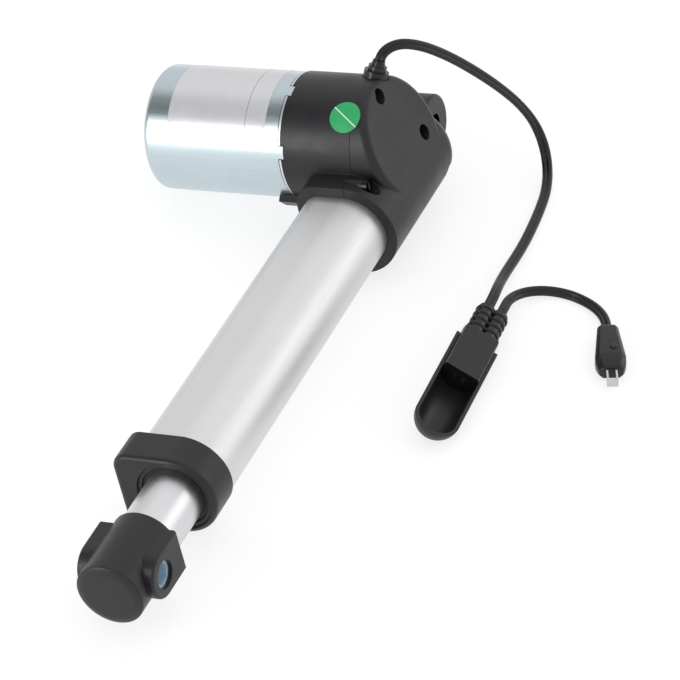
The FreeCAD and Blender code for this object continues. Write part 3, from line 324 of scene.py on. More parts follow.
# %% [markdown]
# The eye on the rod's end is one moulding: a barrel with two flat ears. Its end has a crisp rim and a low
# shoulder, where the CAD node has one even round. The eye could be drawn again from nothing, but the rest
# of the node is right. So this piece is a merged copy of it, and only the rings of that round move: each
# goes to the same share of a wide, shallow arc that a tight one ends.

# %% The eye's rim
EYE_ROUND = 4.5
SHOULDER_ARC = 8.0
SHOULDER_SLOPE = math.radians(30)
FACE_SHARE = 0.66
SIDE_SHARE = 0.93
shoulder_out = SHOULDER_ARC * math.sin(SHOULDER_SLOPE)
shoulder_deep = SHOULDER_ARC * (1 - math.cos(SHOULDER_SLOPE))
rim_arc = (EYE_ROUND - shoulder_out) / (1 - math.sin(SHOULDER_SLOPE))


def crisp_rim(share):
    """How far out and how deep the new rim is, at a share of the way from end face to barrel's side."""
    if share < FACE_SHARE:
        slope = SHOULDER_SLOPE * share / FACE_SHARE
        return SHOULDER_ARC * math.sin(slope), SHOULDER_ARC * (1 - math.cos(slope))
    past_shoulder = min(1, (share - FACE_SHARE) / (SIDE_SHARE - FACE_SHARE))
    slope = SHOULDER_SLOPE + (math.pi / 2 - SHOULDER_SLOPE) * past_shoulder
    out = shoulder_out + rim_arc * (math.sin(slope) - math.sin(SHOULDER_SLOPE))
    deep = shoulder_deep + rim_arc * (math.cos(SHOULDER_SLOPE) - math.cos(slope))
    along_side = max(0, (share - SIDE_SHARE) / (1 - SIDE_SHARE))
    return out, deep + (EYE_ROUND - deep) * along_side


print("rim: an arc of %.1f mm after a shoulder of %.1f mm" % (rim_arc, shoulder_out))

# %% Front eye
SAME_POINT = 0.001
EYE_SHARP = math.radians(35)
eye = bmesh.new()
eye.from_mesh(nodes["front_eye"].data)
bmesh.ops.remove_doubles(eye, verts=eye.verts, dist=SAME_POINT * MM)
eye_end = max(vertex.co.x for vertex in eye.verts)
face_edge = max(vertex.co.yz.length for vertex in eye.verts if eye_end - vertex.co.x < SAME_POINT * MM)
moved = 0
for vertex in eye.verts:
    past_face = vertex.co.yz.length - face_edge
    before_side = vertex.co.x - eye_end + EYE_ROUND * MM
    if before_side > 0 and past_face > 0:
        out, deep = crisp_rim(math.atan2(past_face, before_side) / (math.pi / 2))
        vertex.co.yz *= (face_edge + out * MM) / vertex.co.yz.length
        vertex.co.x = eye_end - deep * MM
        moved += 1
eye_moulding = new_piece("eye_moulding", eye, black_nylon, "rod")
eye_moulding.data.attributes.remove(eye_moulding.data.attributes["custom_normal"])
eye_moulding.data.set_sharp_from_angle(angle=EYE_SHARP)
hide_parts("front_eye")
print("eye: moved", moved, "points")

# %% [markdown]
# The loose plug is a soft moulding of eight sides: narrow where the lead enters, widest at two thirds of
# its length, and drawn in towards its contacts. The CAD node is its plain envelope. A box with a modifier
# could stand for it, but a loft through six sections gives the real form, and a bevel rounds all its
# edges.

# %% Plug
PLUG_LENGTH = 30
PLUG_SECTIONS = (  # along, half width, bottom, top, corner
    (0, 4.4, 0.8, 9.3, 1.2), (1.2, 5.1, 0.3, 9.9, 1.6), (21.5, 7.4, 0.0, 10.0, 2.2),
    (25, 7.3, 0.0, 9.5, 2.4), (28, 6.6, 0.5, 8.6, 2.4), (PLUG_LENGTH, 5.6, 1.2, 7.8, 1.8))
PLUG_AT = Vector((97 * MM, 134 * MM, table_height))
PLUG_TURN = math.radians(23)
PLUG_BEVEL = 0.45
PLUG_BEVEL_STEPS = 3
plug_axes = Matrix.Translation(PLUG_AT) @ Matrix.Rotation(PLUG_TURN, 4, "Z")
plug = bmesh.new()
plug_rows = []
for along, half, bottom, top, corner in PLUG_SECTIONS:
    inset, low, high = half - corner, bottom + corner, top - corner
    outline = ((half, low), (half, high), (inset, top), (-inset, top),
               (-half, high), (-half, low), (-inset, bottom), (inset, bottom))
    plug_rows.append([plug.verts.new(plug_axes @ Vector((along * MM, y * MM, z * MM))) for y, z in outline])
loft(plug, plug_rows)
bmesh.ops.bevel(plug, geom=plug.edges[:], offset=PLUG_BEVEL * MM, segments=PLUG_BEVEL_STEPS, profile=0.5,
                affect="EDGES")
plug_moulding = new_piece("plug_moulding", plug, black_pvc, "actuator")
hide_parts("plug_body")
print("plug:", len(plug_moulding.data.polygons), "faces")

# %% [markdown]
# The lead leaves the gland, falls over the gearbox in one arc and lies on the table up to the moulding
# where it divides. A short branch goes on to the loose plug. Straight runs with rounded corners would
# look like bent wire, so the route's points, the same as the CAD tube's, are the control points of one
# smooth spline. The points of the spline's line are then read from its mesh.

# %% Routes of the leads
MAIN_ROUTE = (
    (35.91, -7.72, 56.29), (33.56, -7.14, 61.78), (29, -4.5, 64.5), (24.8, 0.2, 65.3),
    (19.8, 5.2, 62.7), (14.2, 10.6, 58.2), (6.5, 18, 49.9), (-0.5, 25.2, 40.8),
    (-6.9, 32.4, 31.4), (-12.8, 39.6, 21.5), (-17.9, 46.5, 11.1), (-20.7, 53.4, -0.2),
    (-18.6, 59.7, -11.8), (-10.7, 64.7, -21.2), (1.6, 68.1, -24.7), (15, 70, -24.8),
    (28.5, 71.3, -24.8), (42, 72.2, -24.6), (55, 72.7, -23.7), (68, 73, -22.1),
    (80.5, 73.9, -19.6), (91.5, 75.6, -16.6), (101, 76.9, -15.4), (109.5, 77.14, -15.45))
BRANCH_ROUTE = (
    (109.3, 83.48, -18.4), (103.3, 83.3, -18.4), (92.9, 82.2, -20.4), (83.2, 86, -22.4),
    (76.4, 94, -24.1), (74, 104.4, -24.9), (76.1, 114.9, -24.8), (81.5, 124.1, -23.9),
    (89.6, 130.9, -22.7), (97, 134, -22.7))
LINE_STEPS = 8


def plain_mesh(carrier):
    """The mesh that an object shows, kept when the object itself goes."""
    data = bpy.data.meshes.new_from_object(carrier.evaluated_get(bpy.context.evaluated_depsgraph_get()))
    bpy.data.objects.remove(carrier)
    return data


def smooth_line(route):
    """Points of the smooth spline that has the route's points as its control points."""
    data = bpy.data.curves.new("route", "CURVE")
    data.dimensions = "3D"
    spline = data.splines.new("NURBS")
    spline.points.add(len(route) - 1)
    for point, place in zip(spline.points, route):
        point.co = [c * MM for c in place] + [1.0]
    spline.order_u = 3
    spline.use_endpoint_u = True
    spline.resolution_u = LINE_STEPS
    carrier = bpy.data.objects.new("route", data)
    bpy.context.scene.collection.objects.link(carrier)
    return [vertex.co.copy() for vertex in plain_mesh(carrier).vertices]


main_line = smooth_line(MAIN_ROUTE)
branch_line = smooth_line(BRANCH_ROUTE)
print("lines of", len(main_line), "and", len(branch_line), "points")

# %% [markdown]
# The cable is flat twin: two cores side by side in one sheath, with a groove between them. A flat cable
# that is bent sideways leans over on its edge. A plain bevel on the curve would give no hold on that
# lean, so the sheath's outline is swept along the line with a lean that changes slowly from one end to
# the other.

# %% Flat twin sheath
CORE_REACH = 125
CORE_STEP = 25
GROOVE_SHARE = 0.4


def twin_outline(width, thick):
    """The sheath's section: two round cores and the groove between them."""
    centre, radius = (width - thick) / 2, thick / 2
    right_core = [(centre + radius * math.cos(math.radians(a)), radius * math.sin(math.radians(a)))
                  for a in range(-CORE_REACH, CORE_REACH + 1, CORE_STEP)]
    left_core = [(-x, -y) for x, y in right_core]
    return right_core + [(0.0, GROOVE_SHARE * radius)] + left_core + [(0.0, -GROOVE_SHARE * radius)]


def lean_at(share, leans):
    """The sheath's lean in radians at a share of the run, between the given (share, degrees)."""
    for (from_share, from_turn), (to_share, to_turn) in zip(leans, leans[1:]):
        if share <= to_share:
            part = (share - from_share) / (to_share - from_share)
            part = part * part * (3 - 2 * part)
            return math.radians(from_turn + (to_turn - from_turn) * part)
    return math.radians(leans[-1][1])


def twin_lead(name, line, leans, width_mm, thick_mm):
    """Sweeps the sheath's section along the line."""
    section = twin_outline(width_mm * MM, thick_mm * MM)
    mesh = bmesh.new()
    rows = []
    for i, place in enumerate(line):
        along = (line[min(i + 1, len(line) - 1)] - line[max(i - 1, 0)]).normalized()
        level = along.cross(Vector((0, 0, 1))).normalized()
        top = level.cross(along)
        lean = lean_at(i / (len(line) - 1), leans)
        wide = level * math.cos(lean) - top * math.sin(lean)
        over = top * math.cos(lean) + level * math.sin(lean)
        rows.append([mesh.verts.new(place + wide * x + over * y) for x, y in section])
    loft(mesh, rows)
    length = sum((b - a).length for a, b in zip(line, line[1:]))
    print(name, "%.1f mm" % (length / MM))
    return new_piece(name, mesh, black_pvc, "actuator")


print("sheath: outline of", len(twin_outline(2, 1)), "points")

# %% [markdown]
# The main lead carries the Y moulding with its shell, and the branch carries the plug with its contacts.
# Each lead's length along its line is printed.

# %% The two leads
MAIN_LEAN = ((0.0, 48), (0.3, 46), (0.5, 20), (0.7, -18), (1.0, -25))
MAIN_SIZE = (5.3, 3.0)
BRANCH_LEAN = ((0.0, 25), (0.4, 42), (0.7, 42), (1.0, 20))
BRANCH_SIZE = (5.0, 2.8)
main_lead = twin_lead("main_lead", main_line, MAIN_LEAN, *MAIN_SIZE)
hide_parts("main_cord")
branch_lead = twin_lead("branch_lead", branch_line, BRANCH_LEAN, *BRANCH_SIZE)
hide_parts("branch_cord")

# %% [markdown]
# Two stickers lie on round skins: a silver foil label on the can and a small green disc on the gear
# housing. Each was cut flat and then bent, so it is drawn as rings of points in flat millimetres and
# wrapped round the motor's axis. A modifier could bend a flat sheet too, but this way the flat place of
# each point is at hand for its UV map.

# %% Wrapped foil
FOIL_THICK = 0.12
FOIL_LIFT = 0.02
SHARP_ANGLE = math.radians(40)


def wrapped(name, outline, ring_count, radius_mm, middle_turn, middle_y, finish):
    """Bends a flat outline round the motor's axis and gives it the foil's thickness."""
    mesh = bmesh.new()
    flat = mesh.loops.layers.uv.new("flat")

    def bent(u, v, lift):
        turn = math.radians(middle_turn) + u / radius_mm
        out = (radius_mm + lift) * MM
        place = Vector((out * math.sin(turn), (middle_y + v) * MM, axis_offset + out * math.cos(turn)))
        return mesh.verts.new(actuator_axes @ place), (u, v)

    rows = []
    for i in range(1, ring_count + 1):
        share = i / ring_count
        rows.append([bent(u * share, v * share, FOIL_THICK) for u, v in outline])
    rows.append([bent(u, v, FOIL_LIFT) for u, v in outline])
    centre = bent(0, 0, FOIL_THICK)
    under = bent(0, 0, FOIL_LIFT)
    faces = [(centre, rows[0][k], rows[0][k - 1]) for k in range(len(outline))]
    faces += [(under, rows[-1][k - 1], rows[-1][k]) for k in range(len(outline))]
    for here, there in zip(rows, rows[1:]):
        faces += [(here[k - 1], here[k], there[k], there[k - 1]) for k in range(len(outline))]
    for corners in faces:
        face = mesh.faces.new([vertex for vertex, spot in corners])
        for loop, (vertex, spot) in zip(face.loops, corners):
            loop[flat].uv = spot
    piece = new_piece(name, mesh, finish, "actuator")
    piece.data.set_sharp_from_angle(angle=SHARP_ANGLE)
    print(name, len(piece.data.polygons), "faces")


print("foil: %.2f mm thick" % FOIL_THICK)

# %% [markdown]
# The print on a sticker is one plain rule. It could be a thin strip of its own, but print has no
# thickness, so it is drawn in the material: a Compare node finds the points within half the rule's width
# of its line.

# %% Printed foil
FOIL_CLOUD = 9
FOIL_DRIFT = 0.04


def rule_finish(name, ground, ink, roughness, metallic, rule_turn, rule_mm, rule_at):
    """A sticker's foil with one plain printed rule across it, read from its flat map in millimetres."""
    material, tree, shader, place = new_material(name)
    flat = add_node(tree, "ShaderNodeUVMap", {"uv_map": "flat"}).outputs["UV"]
    turned = add_node(tree, "ShaderNodeMapping", inputs={
        "Vector": flat, "Rotation": (0.0, 0.0, math.radians(rule_turn))})
    axes = add_node(tree, "ShaderNodeSeparateXYZ", inputs={"Vector": turned.outputs["Vector"]})
    rule = add_node(tree, "ShaderNodeMath", {"operation": "COMPARE"}, {
        0: axes.outputs["Y"], 1: rule_at, 2: rule_mm / 2})
    cloud = add_node(tree, "ShaderNodeTexNoise", inputs={
        "Vector": place, "Scale": 1 / (FOIL_CLOUD * MM), "Detail": CLOUD_DETAIL}).outputs["Fac"]
    ground_tone = add_node(tree, "ShaderNodeMix", {"data_type": "RGBA"}, {
        "Factor": cloud, 6: linear(ground[0]), 7: linear(ground[1])})
    tone = add_node(tree, "ShaderNodeMix", {"data_type": "RGBA"}, {
        "Factor": rule.outputs[0], 6: ground_tone.outputs[2], 7: linear(ink)})
    tree.links.new(tone.outputs[2], shader.inputs["Base Color"])
    gloss = add_node(tree, "ShaderNodeMapRange", inputs={
        "Value": cloud, "To Min": roughness - FOIL_DRIFT, "To Max": roughness + FOIL_DRIFT})
    tree.links.new(gloss.outputs["Result"], shader.inputs["Roughness"])
    shader.inputs["Metallic"].default_value = metallic
    return material


# Satin silver polyester foil: it mirrors softly and takes a plain grey rule
silver_foil = rule_finish("silver_polyester_foil", ("#d2d2d6", "#dcdcdf"), "#96969a", 0.3, 0.36,
                          rule_turn=0, rule_mm=0.35, rule_at=16)
# Matt green vinyl with one pale rule
green_vinyl = rule_finish("green_vinyl", ("#27a05e", "#2fae69"), "#e4f1e8", 0.45, 0.0,
                          rule_turn=-54, rule_mm=0.5, rule_at=0)
print("foils:", silver_foil.name, "and", green_vinyl.name)

# %% [markdown]
# The label is an oblong with round corners. Its long sides get more points, because a side with only two
# ends would cut through the can as a chord. The green disc is a ring of points.

# %% Stickers
CAN_RADIUS = 31.5
LABEL_HALF = (37, 27)
LABEL_CORNER = 1.5
LABEL_CORNER_STEPS = 6
LABEL_SPACING = 2.0
LABEL_RINGS = 12
LABEL_TURN = -8
LABEL_MIDDLE = -72
BELL_RADIUS = 32
SPOT_RADIUS = 8
SPOT_STEP = 8
SPOT_RINGS = 5
SPOT_TURN = 36
SPOT_MIDDLE = -2.4


def rounded_oblong(half_u, half_v, corner, steps):
    """Corners of an oblong with round corners, going once round."""
    outline = []
    for sign_u, sign_v, begin in ((1, 1, 0), (-1, 1, 90), (-1, -1, 180), (1, -1, 270)):
        for i in range(steps + 1):
            turn = math.radians(begin + 90 * i / steps)
            outline.append((sign_u * (half_u - corner) + corner * math.cos(turn),
                            sign_v * (half_v - corner) + corner * math.sin(turn)))
    return outline


def along_edges(outline, spacing):
    """Adds points on long straight sides, so that they bend with the skin."""
    dense = []
    for (u0, v0), (u1, v1) in zip(outline, outline[1:] + outline[:1]):
        parts = max(1, round(math.hypot(u1 - u0, v1 - v0) / spacing))
        dense += [(u0 + (u1 - u0) * i / parts, v0 + (v1 - v0) * i / parts) for i in range(parts)]
    return dense


label_outline = along_edges(rounded_oblong(*LABEL_HALF, LABEL_CORNER, LABEL_CORNER_STEPS), LABEL_SPACING)
wrapped("can_label", label_outline, LABEL_RINGS, CAN_RADIUS, LABEL_TURN, LABEL_MIDDLE,
        silver_foil)
spot_turns = [math.radians(a) for a in range(0, 360, SPOT_STEP)]
spot_outline = [(SPOT_RADIUS * math.cos(a), SPOT_RADIUS * math.sin(a)) for a in spot_turns]
wrapped("green_spot", spot_outline, SPOT_RINGS, BELL_RADIUS, SPOT_TURN, SPOT_MIDDLE,
        green_vinyl)

# %% [markdown]
# Some details repeat: screw crowns, soft ribs, contact mouths and the arcs of a plate's edge. Copies could
# be placed by a loop, but a node tree has its sizes as named inputs, set on a modifier whose result is kept
# at once as a plain mesh. Three helpers serve all trees: one begins a tree, one ends it, and one runs it on
# a few points and keeps the result as a plain mesh.

# %% Node trees
def new_tree(name, sizes):
    """An empty node tree with a geometry output and named number inputs."""
    tree = bpy.data.node_groups.new(name, "GeometryNodeTree")
    tree.interface.new_socket("Geometry", in_out="INPUT", socket_type="NodeSocketGeometry")
    for size_name, value in sizes.items():
        kind = "NodeSocketInt" if isinstance(value, int) else "NodeSocketFloat"
        tree.interface.new_socket(size_name, in_out="INPUT", socket_type=kind).default_value = value
    tree.interface.new_socket("Geometry", in_out="OUTPUT", socket_type="NodeSocketGeometry")
    return tree, add_node(tree, "NodeGroupInput").outputs


def end_tree(tree, geometry, finish):
    """Makes instances real, sets the finish and smooth shading, and closes the tree."""
    real = add_node(tree, "GeometryNodeRealizeInstances", inputs={"Geometry": geometry})
    smooth = add_node(tree, "GeometryNodeSetShadeSmooth", inputs={"Geometry": real.outputs["Geometry"]})
    painted = add_node(tree, "GeometryNodeSetMaterial", inputs={
        "Geometry": smooth.outputs["Geometry"], "Material": finish})
    add_node(tree, "NodeGroupOutput", inputs={"Geometry": painted.outputs["Geometry"]})


def grown(name, tree, sizes, points, place, body):
    """Runs a tree on a few points, and keeps the result as a plain mesh in its place."""
    seed = bpy.data.meshes.new(name + "_points")
    seed.from_pydata(points, [], [])
    carrier = bpy.data.objects.new(name + "_points", seed)
    bpy.context.scene.collection.objects.link(carrier)
    modifier = carrier.modifiers.new(name, "NODES")
    modifier.node_group = tree
    sockets = {item.name: item.identifier for item in tree.interface.items_tree if item.in_out == "INPUT"}
    for size_name, value in sizes.items():
        modifier[sockets[size_name]] = value
    data = plain_mesh(carrier)
    data.transform(place)
    data.set_sharp_from_angle(angle=SHARP_ANGLE)
    stand(name, data, body)
    print(name, len(data.polygons), "faces")


print("edges sharper than %.0f degrees stay crisp" % math.degrees(SHARP_ANGLE))

# %% [markdown]
# Four screws hold the halves of the housing together. Their CAD heads are plain, and the crown with its
# cross recess is added here. A crown is a low cone with two bars cut out of it, set on four points. The
# exact solver leaves it a closed mesh.

# %% Screw crowns
CROWN_SIZES = {
    "Crown radius": 3.1 * MM, "Crown height": 0.5 * MM, "Bar length": 3.4 * MM, "Bar width": 0.9 * MM}
CROWN_STEPS = 32
CROWN_TOP = 0.8
BAR_DEPTH = 1.6
CROWN_TURN = (-math.pi / 2, 0.0, 0.4)
HEAD_HEIGHT = 2.4
SCREW_SEATS = ((0, 50, 3.5), (36, 22.1, 9.5), (-28, -12, 14), (-16, 19, 9))  # x, z, seat
crown_tree, crown_in = new_tree("screw_crowns", CROWN_SIZES)
cone_top = add_node(crown_tree, "ShaderNodeMath", {"operation": "MULTIPLY"}, {
    0: crown_in["Crown radius"], 1: CROWN_TOP})
cone = add_node(crown_tree, "GeometryNodeMeshCone", inputs={
    "Vertices": CROWN_STEPS, "Radius Top": cone_top.outputs[0], "Radius Bottom": crown_in["Crown radius"],
    "Depth": crown_in["Crown height"]})
deep = add_node(crown_tree, "ShaderNodeMath", {"operation": "MULTIPLY"}, {
    0: crown_in["Crown height"], 1: BAR_DEPTH})
raised = add_node(crown_tree, "ShaderNodeCombineXYZ", inputs={"Z": crown_in["Crown height"]})
recess = add_node(crown_tree, "GeometryNodeMeshBoolean", {"operation": "UNION", "solver": "EXACT"})
for first, second in (("Bar length", "Bar width"), ("Bar width", "Bar length")):
    extent = add_node(crown_tree, "ShaderNodeCombineXYZ", inputs={
        "X": crown_in[first], "Y": crown_in[second], "Z": deep.outputs[0]})
    bar = add_node(crown_tree, "GeometryNodeMeshCube", inputs={"Size": extent.outputs["Vector"]})
    lifted = add_node(crown_tree, "GeometryNodeTransform", inputs={
        "Geometry": bar.outputs["Mesh"], "Translation": raised.outputs["Vector"]})
    crown_tree.links.new(lifted.outputs["Geometry"], recess.inputs["Mesh 2"])
crown = add_node(crown_tree, "GeometryNodeMeshBoolean", {"operation": "DIFFERENCE", "solver": "EXACT"}, {
    "Mesh 1": cone.outputs["Mesh"], "Mesh 2": recess.outputs["Mesh"]})
crowns = add_node(crown_tree, "GeometryNodeInstanceOnPoints", inputs={
    "Points": crown_in["Geometry"], "Instance": crown.outputs["Mesh"], "Rotation": CROWN_TURN})
end_tree(crown_tree, crowns.outputs["Instances"], black_oxide_and_gap_shade)
crown_points = [(x * MM, (seat + HEAD_HEIGHT) * MM, z * MM) for x, z, seat in SCREW_SEATS]
grown("screw_crowns", crown_tree, CROWN_SIZES, crown_points, actuator_axes, "actuator")

# %% [markdown]
# Soft ribs stand on the two necks where the leads enter their moulding, so that the cable bends gently
# there. A rib is a ring, swept round a circle. The tree sets ribs along a line, and a line on each of two
# points.

# %% Neck ribs
RIB_SIZES = {"Rib count": 4, "Rib pitch": 4.3 * MM, "Neck radius": 4.0 * MM, "Rib thickness": 1.0 * MM}
GIRTH_STEPS = 32
BEAD_STEPS = 12
NECK_HALF = 3.5
NECK_DROP = 1
FIRST_RIB = 2.6
SOCKET_AT = Vector((109.4 * MM, 80.75 * MM, table_height + 11.2 * MM))
SOCKET_TURN = math.radians(1.8)
SOCKET_LEAN = math.radians(-25)
rib_tree, rib_in = new_tree("neck_ribs", RIB_SIZES)
girth = add_node(rib_tree, "GeometryNodeCurvePrimitiveCircle", inputs={
    "Resolution": GIRTH_STEPS, "Radius": rib_in["Neck radius"]})
bead = add_node(rib_tree, "GeometryNodeCurvePrimitiveCircle", inputs={
    "Resolution": BEAD_STEPS, "Radius": rib_in["Rib thickness"]})
rib = add_node(rib_tree, "GeometryNodeCurveToMesh", inputs={
    "Curve": girth.outputs["Curve"], "Profile Curve": bead.outputs["Curve"]})
step = add_node(rib_tree, "ShaderNodeCombineXYZ", inputs={"X": rib_in["Rib pitch"]})
row = add_node(rib_tree, "GeometryNodeMeshLine", inputs={
    "Count": rib_in["Rib count"], "Offset": step.outputs["Vector"]})
rib_row = add_node(rib_tree, "GeometryNodeInstanceOnPoints", inputs={
    "Points": row.outputs["Mesh"], "Instance": rib.outputs["Mesh"], "Rotation": (0.0, math.pi / 2, 0.0)})
columns = add_node(rib_tree, "GeometryNodeInstanceOnPoints", inputs={
    "Points": rib_in["Geometry"], "Instance": rib_row.outputs["Instances"]})
end_tree(rib_tree, columns.outputs["Instances"], black_pvc)
socket_axes = (Matrix.Translation(SOCKET_AT) @ Matrix.Rotation(SOCKET_TURN, 4, "Z")
               @ Matrix.Rotation(SOCKET_LEAN, 4, "X"))
neck_points = [(FIRST_RIB * MM, side * NECK_HALF * MM, -NECK_DROP * MM) for side in (-1, 1)]
grown("neck_ribs", rib_tree, RIB_SIZES, neck_points, socket_axes, "actuator")

# %% [markdown]
# The socket's front face has two contact mouths, and the plug a small nub on its back that shows which
# way up it goes. A mouth is a tiny raised ring, so the tree of the ribs makes it with other sizes. The
# nub is a low button, a loft through rings of points on its profile.

# %% Contact mouths and nub
MOUTH_SIZES = {"Rib count": 1, "Rib pitch": 0.0, "Neck radius": 1.0 * MM, "Rib thickness": 0.28 * MM}
SOCKET_FACE = 49.7
MOUTH_HALF = 2.4
MOUTH_DROP = 1.5
mouth_points = [(SOCKET_FACE * MM, side * MOUTH_HALF * MM, -MOUTH_DROP * MM) for side in (-1, 1)]
grown("contact_mouths", rib_tree, MOUTH_SIZES, mouth_points, socket_axes, "actuator")

NUB_PROFILE = ((1.9, 9.8), (1.9, 10.2), (1.6, 10.5), (0.7, 10.6))  # radius, height
NUB_AT = Vector((17 * MM, 1.8 * MM, 0))
NUB_STEP = 15
nub = bmesh.new()
nub_turns = [math.radians(a) for a in range(0, 360, NUB_STEP)]
nub_rows = []
for radius, height in NUB_PROFILE:
    ring = [Vector((radius * math.cos(a), radius * math.sin(a), height)) * MM for a in nub_turns]
    nub_rows.append([nub.verts.new(plug_axes @ (NUB_AT + spot)) for spot in ring])
loft(nub, nub_rows)
plug_nub = new_piece("plug_nub", nub, black_pvc, "actuator")
print("plug_nub", len(plug_nub.data.polygons), "faces")

# %% [markdown]
# Between the can and the black skirt shows the edge of the motor's steel front plate, broken where the
# can's six tabs are folded over it. A dark line parts it from the can: the shade of the gap there, painted
# as a dark strip. The edge is an arc that repeats round the motor, so a tree sweeps a flat bar along one
# arc and turns copies of it. The painted gap shade is the same arc in black, a little larger and under it.

# %% Arcs of the plate's edge
TAB_COUNT = 6
TAB_WIDTH = 7.4
ARC_STEPS = 32
can_girth = math.tau * CAN_RADIUS
EDGE_SIZES = {
    "Arc count": TAB_COUNT, "Arc radius": CAN_RADIUS * MM,
    "Arc share": 1 - TAB_COUNT * TAB_WIDTH / can_girth, "Bar width": 1.2 * MM, "Bar thickness": 0.44 * MM}


def edge_tree(name, finish):
    """Flat bars on arcs round the Z axis, one for each space between the tabs."""
    tree, sizes = new_tree(name, EDGE_SIZES)
    pitch = add_node(tree, "ShaderNodeMath", {"operation": "DIVIDE"}, {0: math.tau, 1: sizes["Arc count"]})
    sweep = add_node(tree, "ShaderNodeMath", {"operation": "MULTIPLY"}, {
        0: pitch.outputs[0], 1: sizes["Arc share"]})
    half_back = add_node(tree, "ShaderNodeMath", {"operation": "MULTIPLY"}, {0: sweep.outputs[0], 1: -0.5})
    arc = add_node(tree, "GeometryNodeCurveArc", inputs={
        "Resolution": ARC_STEPS, "Radius": sizes["Arc radius"], "Start Angle": half_back.outputs[0],
        "Sweep Angle": sweep.outputs[0]})
    section = add_node(tree, "GeometryNodeCurvePrimitiveQuadrilateral", inputs={
        "Width": sizes["Bar thickness"], "Height": sizes["Bar width"]})
    bar = add_node(tree, "GeometryNodeCurveToMesh", inputs={
        "Curve": arc.outputs["Curve"], "Profile Curve": section.outputs["Curve"], "Fill Caps": True})
    index = add_node(tree, "GeometryNodeInputIndex").outputs["Index"]
    turn = add_node(tree, "ShaderNodeMath", {"operation": "MULTIPLY"}, {0: index, 1: pitch.outputs[0]})
    turned = add_node(tree, "ShaderNodeCombineXYZ", inputs={"Z": turn.outputs[0]})
    copies = add_node(tree, "GeometryNodeInstanceOnPoints", inputs={
        "Points": sizes["Geometry"], "Instance": bar.outputs["Mesh"], "Rotation": turned.outputs["Vector"]})
    end_tree(tree, copies.outputs["Instances"], finish)
    return tree


print("arcs:", TAB_COUNT, "of %.1f mm" % (EDGE_SIZES["Arc share"] * can_girth / TAB_COUNT))

# %% Plate edge and painted gap shade
TAB_TURN = 12
SKIRT_END = -36
GAP_SHADE_WIDTH = 0.45
GAP_SHADE_THICK = 0.12


def edge_axes(middle_y):
    """Axes with Z along the motor's axis and X at the middle of the first space between two tabs."""
    first = math.radians(TAB_TURN + 180 / TAB_COUNT)
    return (actuator_axes @ Matrix.Translation((0, middle_y * MM, axis_offset))
            @ Matrix.Rotation(first, 4, "Y") @ Matrix.Rotation(-math.pi / 2, 4, "Y")
            @ Matrix.Rotation(math.pi / 2, 4, "X"))


arc_points = [(0.0, 0.0, 0.0)] * TAB_COUNT
edge_width = EDGE_SIZES["Bar width"] / MM
grown("plate_edge", edge_tree("plate_edge", sheared_steel), EDGE_SIZES, arc_points,
      edge_axes(SKIRT_END - edge_width / 2), "actuator")
# Painted shade: a black strip a little wider than the plate's edge, under it, for the shade in the gap by
# the can
gap_shade_width = edge_width + GAP_SHADE_WIDTH
GAP_SHADE_SIZES = {
    **EDGE_SIZES, "Bar width": gap_shade_width * MM, "Bar thickness": GAP_SHADE_THICK * MM,
    "Arc share": EDGE_SIZES["Arc share"] + TAB_COUNT * 2 * GAP_SHADE_WIDTH / can_girth}
grown("plate_gap_painted_shade", edge_tree("plate_gap_painted_shade", black_oxide_and_gap_shade), GAP_SHADE_SIZES, arc_points,
      edge_axes(SKIRT_END - gap_shade_width / 2), "actuator")

# %% [markdown]
# The photograph was taken from above the front eye with a long lens. The camera's place and turn come
# from fitting the can, the tube and the eye to their outlines in the picture, with the table as the
# level. A camera that only aims at a target would keep its sides level, so all three of its directions
# are set here.

# %% Camera
CAMERA_AT = Vector((1.2831, 0.5258, 1.0270))
CAMERA_RIGHT = Vector((-0.3853, 0.9223, -0.0307))
CAMERA_FORWARD = Vector((-0.6975, -0.3129, -0.6447))
FOCAL_PIXELS = 3399
FRAME_PIXELS = 680
SENSOR_WIDTH = 36
VIEW_END = 20
camera_data = bpy.data.cameras.new("photo_camera")
camera_data.sensor_width = SENSOR_WIDTH
camera_data.lens = FOCAL_PIXELS / FRAME_PIXELS * SENSOR_WIDTH
camera_data.clip_end = VIEW_END
camera = bpy.data.objects.new("photo_camera", camera_data)
back = -CAMERA_FORWARD.normalized()
up = back.cross(CAMERA_RIGHT).normalized()
right = up.cross(back)
camera.matrix_world = Matrix.Translation(CAMERA_AT) @ Matrix((right, up, back)).transposed().to_4x4()
bpy.context.scene.collection.objects.link(camera)
bpy.context.scene.camera = camera
print("camera: lens of %.0f mm, %.2f m from the rear pivot" % (camera_data.lens, CAMERA_AT.length))

# %% [markdown]
# The part lies on white in the picture, so a wide pale floor is put under it. More light would make that
# floor white, but the part would lose its colours. So to the camera, in reflections and through clear
# things the floor glows by itself for most of its white. Its paint is darker there, so that the part's
# shadow stays pale.

# %% Floor
FLOOR_GLOW = 0.74
FLOOR_ROUGHNESS = 0.9
FLOOR_HALF = 3.0
FLOOR_CORNERS = ((-1, -1), (1, -1), (1, 1), (-1, 1))
# Matt white studio paint: it scatters all light, with no gloss
floor_paint, floor_tree, floor_shader = new_material("pale_studio_floor")[:3]
floor_rays = add_node(floor_tree, "ShaderNodeLightPath").outputs
mirrored = add_node(floor_tree, "ShaderNodeMath", {"operation": "MAXIMUM"}, {
    0: floor_rays["Is Camera Ray"], 1: floor_rays["Is Glossy Ray"]})
seen = add_node(floor_tree, "ShaderNodeMath", {"operation": "MAXIMUM"}, {
    0: mirrored.outputs[0], 1: floor_rays["Is Transmission Ray"]})
paint = add_node(floor_tree, "ShaderNodeMix", {"data_type": "RGBA"}, {
    "Factor": seen.outputs[0], 6: linear("#f0f0f0"), 7: linear("#9c9c9c")})
glow = add_node(floor_tree, "ShaderNodeMath", {"operation": "MULTIPLY"}, {
    0: seen.outputs[0], 1: FLOOR_GLOW})
floor_tree.links.new(paint.outputs[2], floor_shader.inputs["Base Color"])
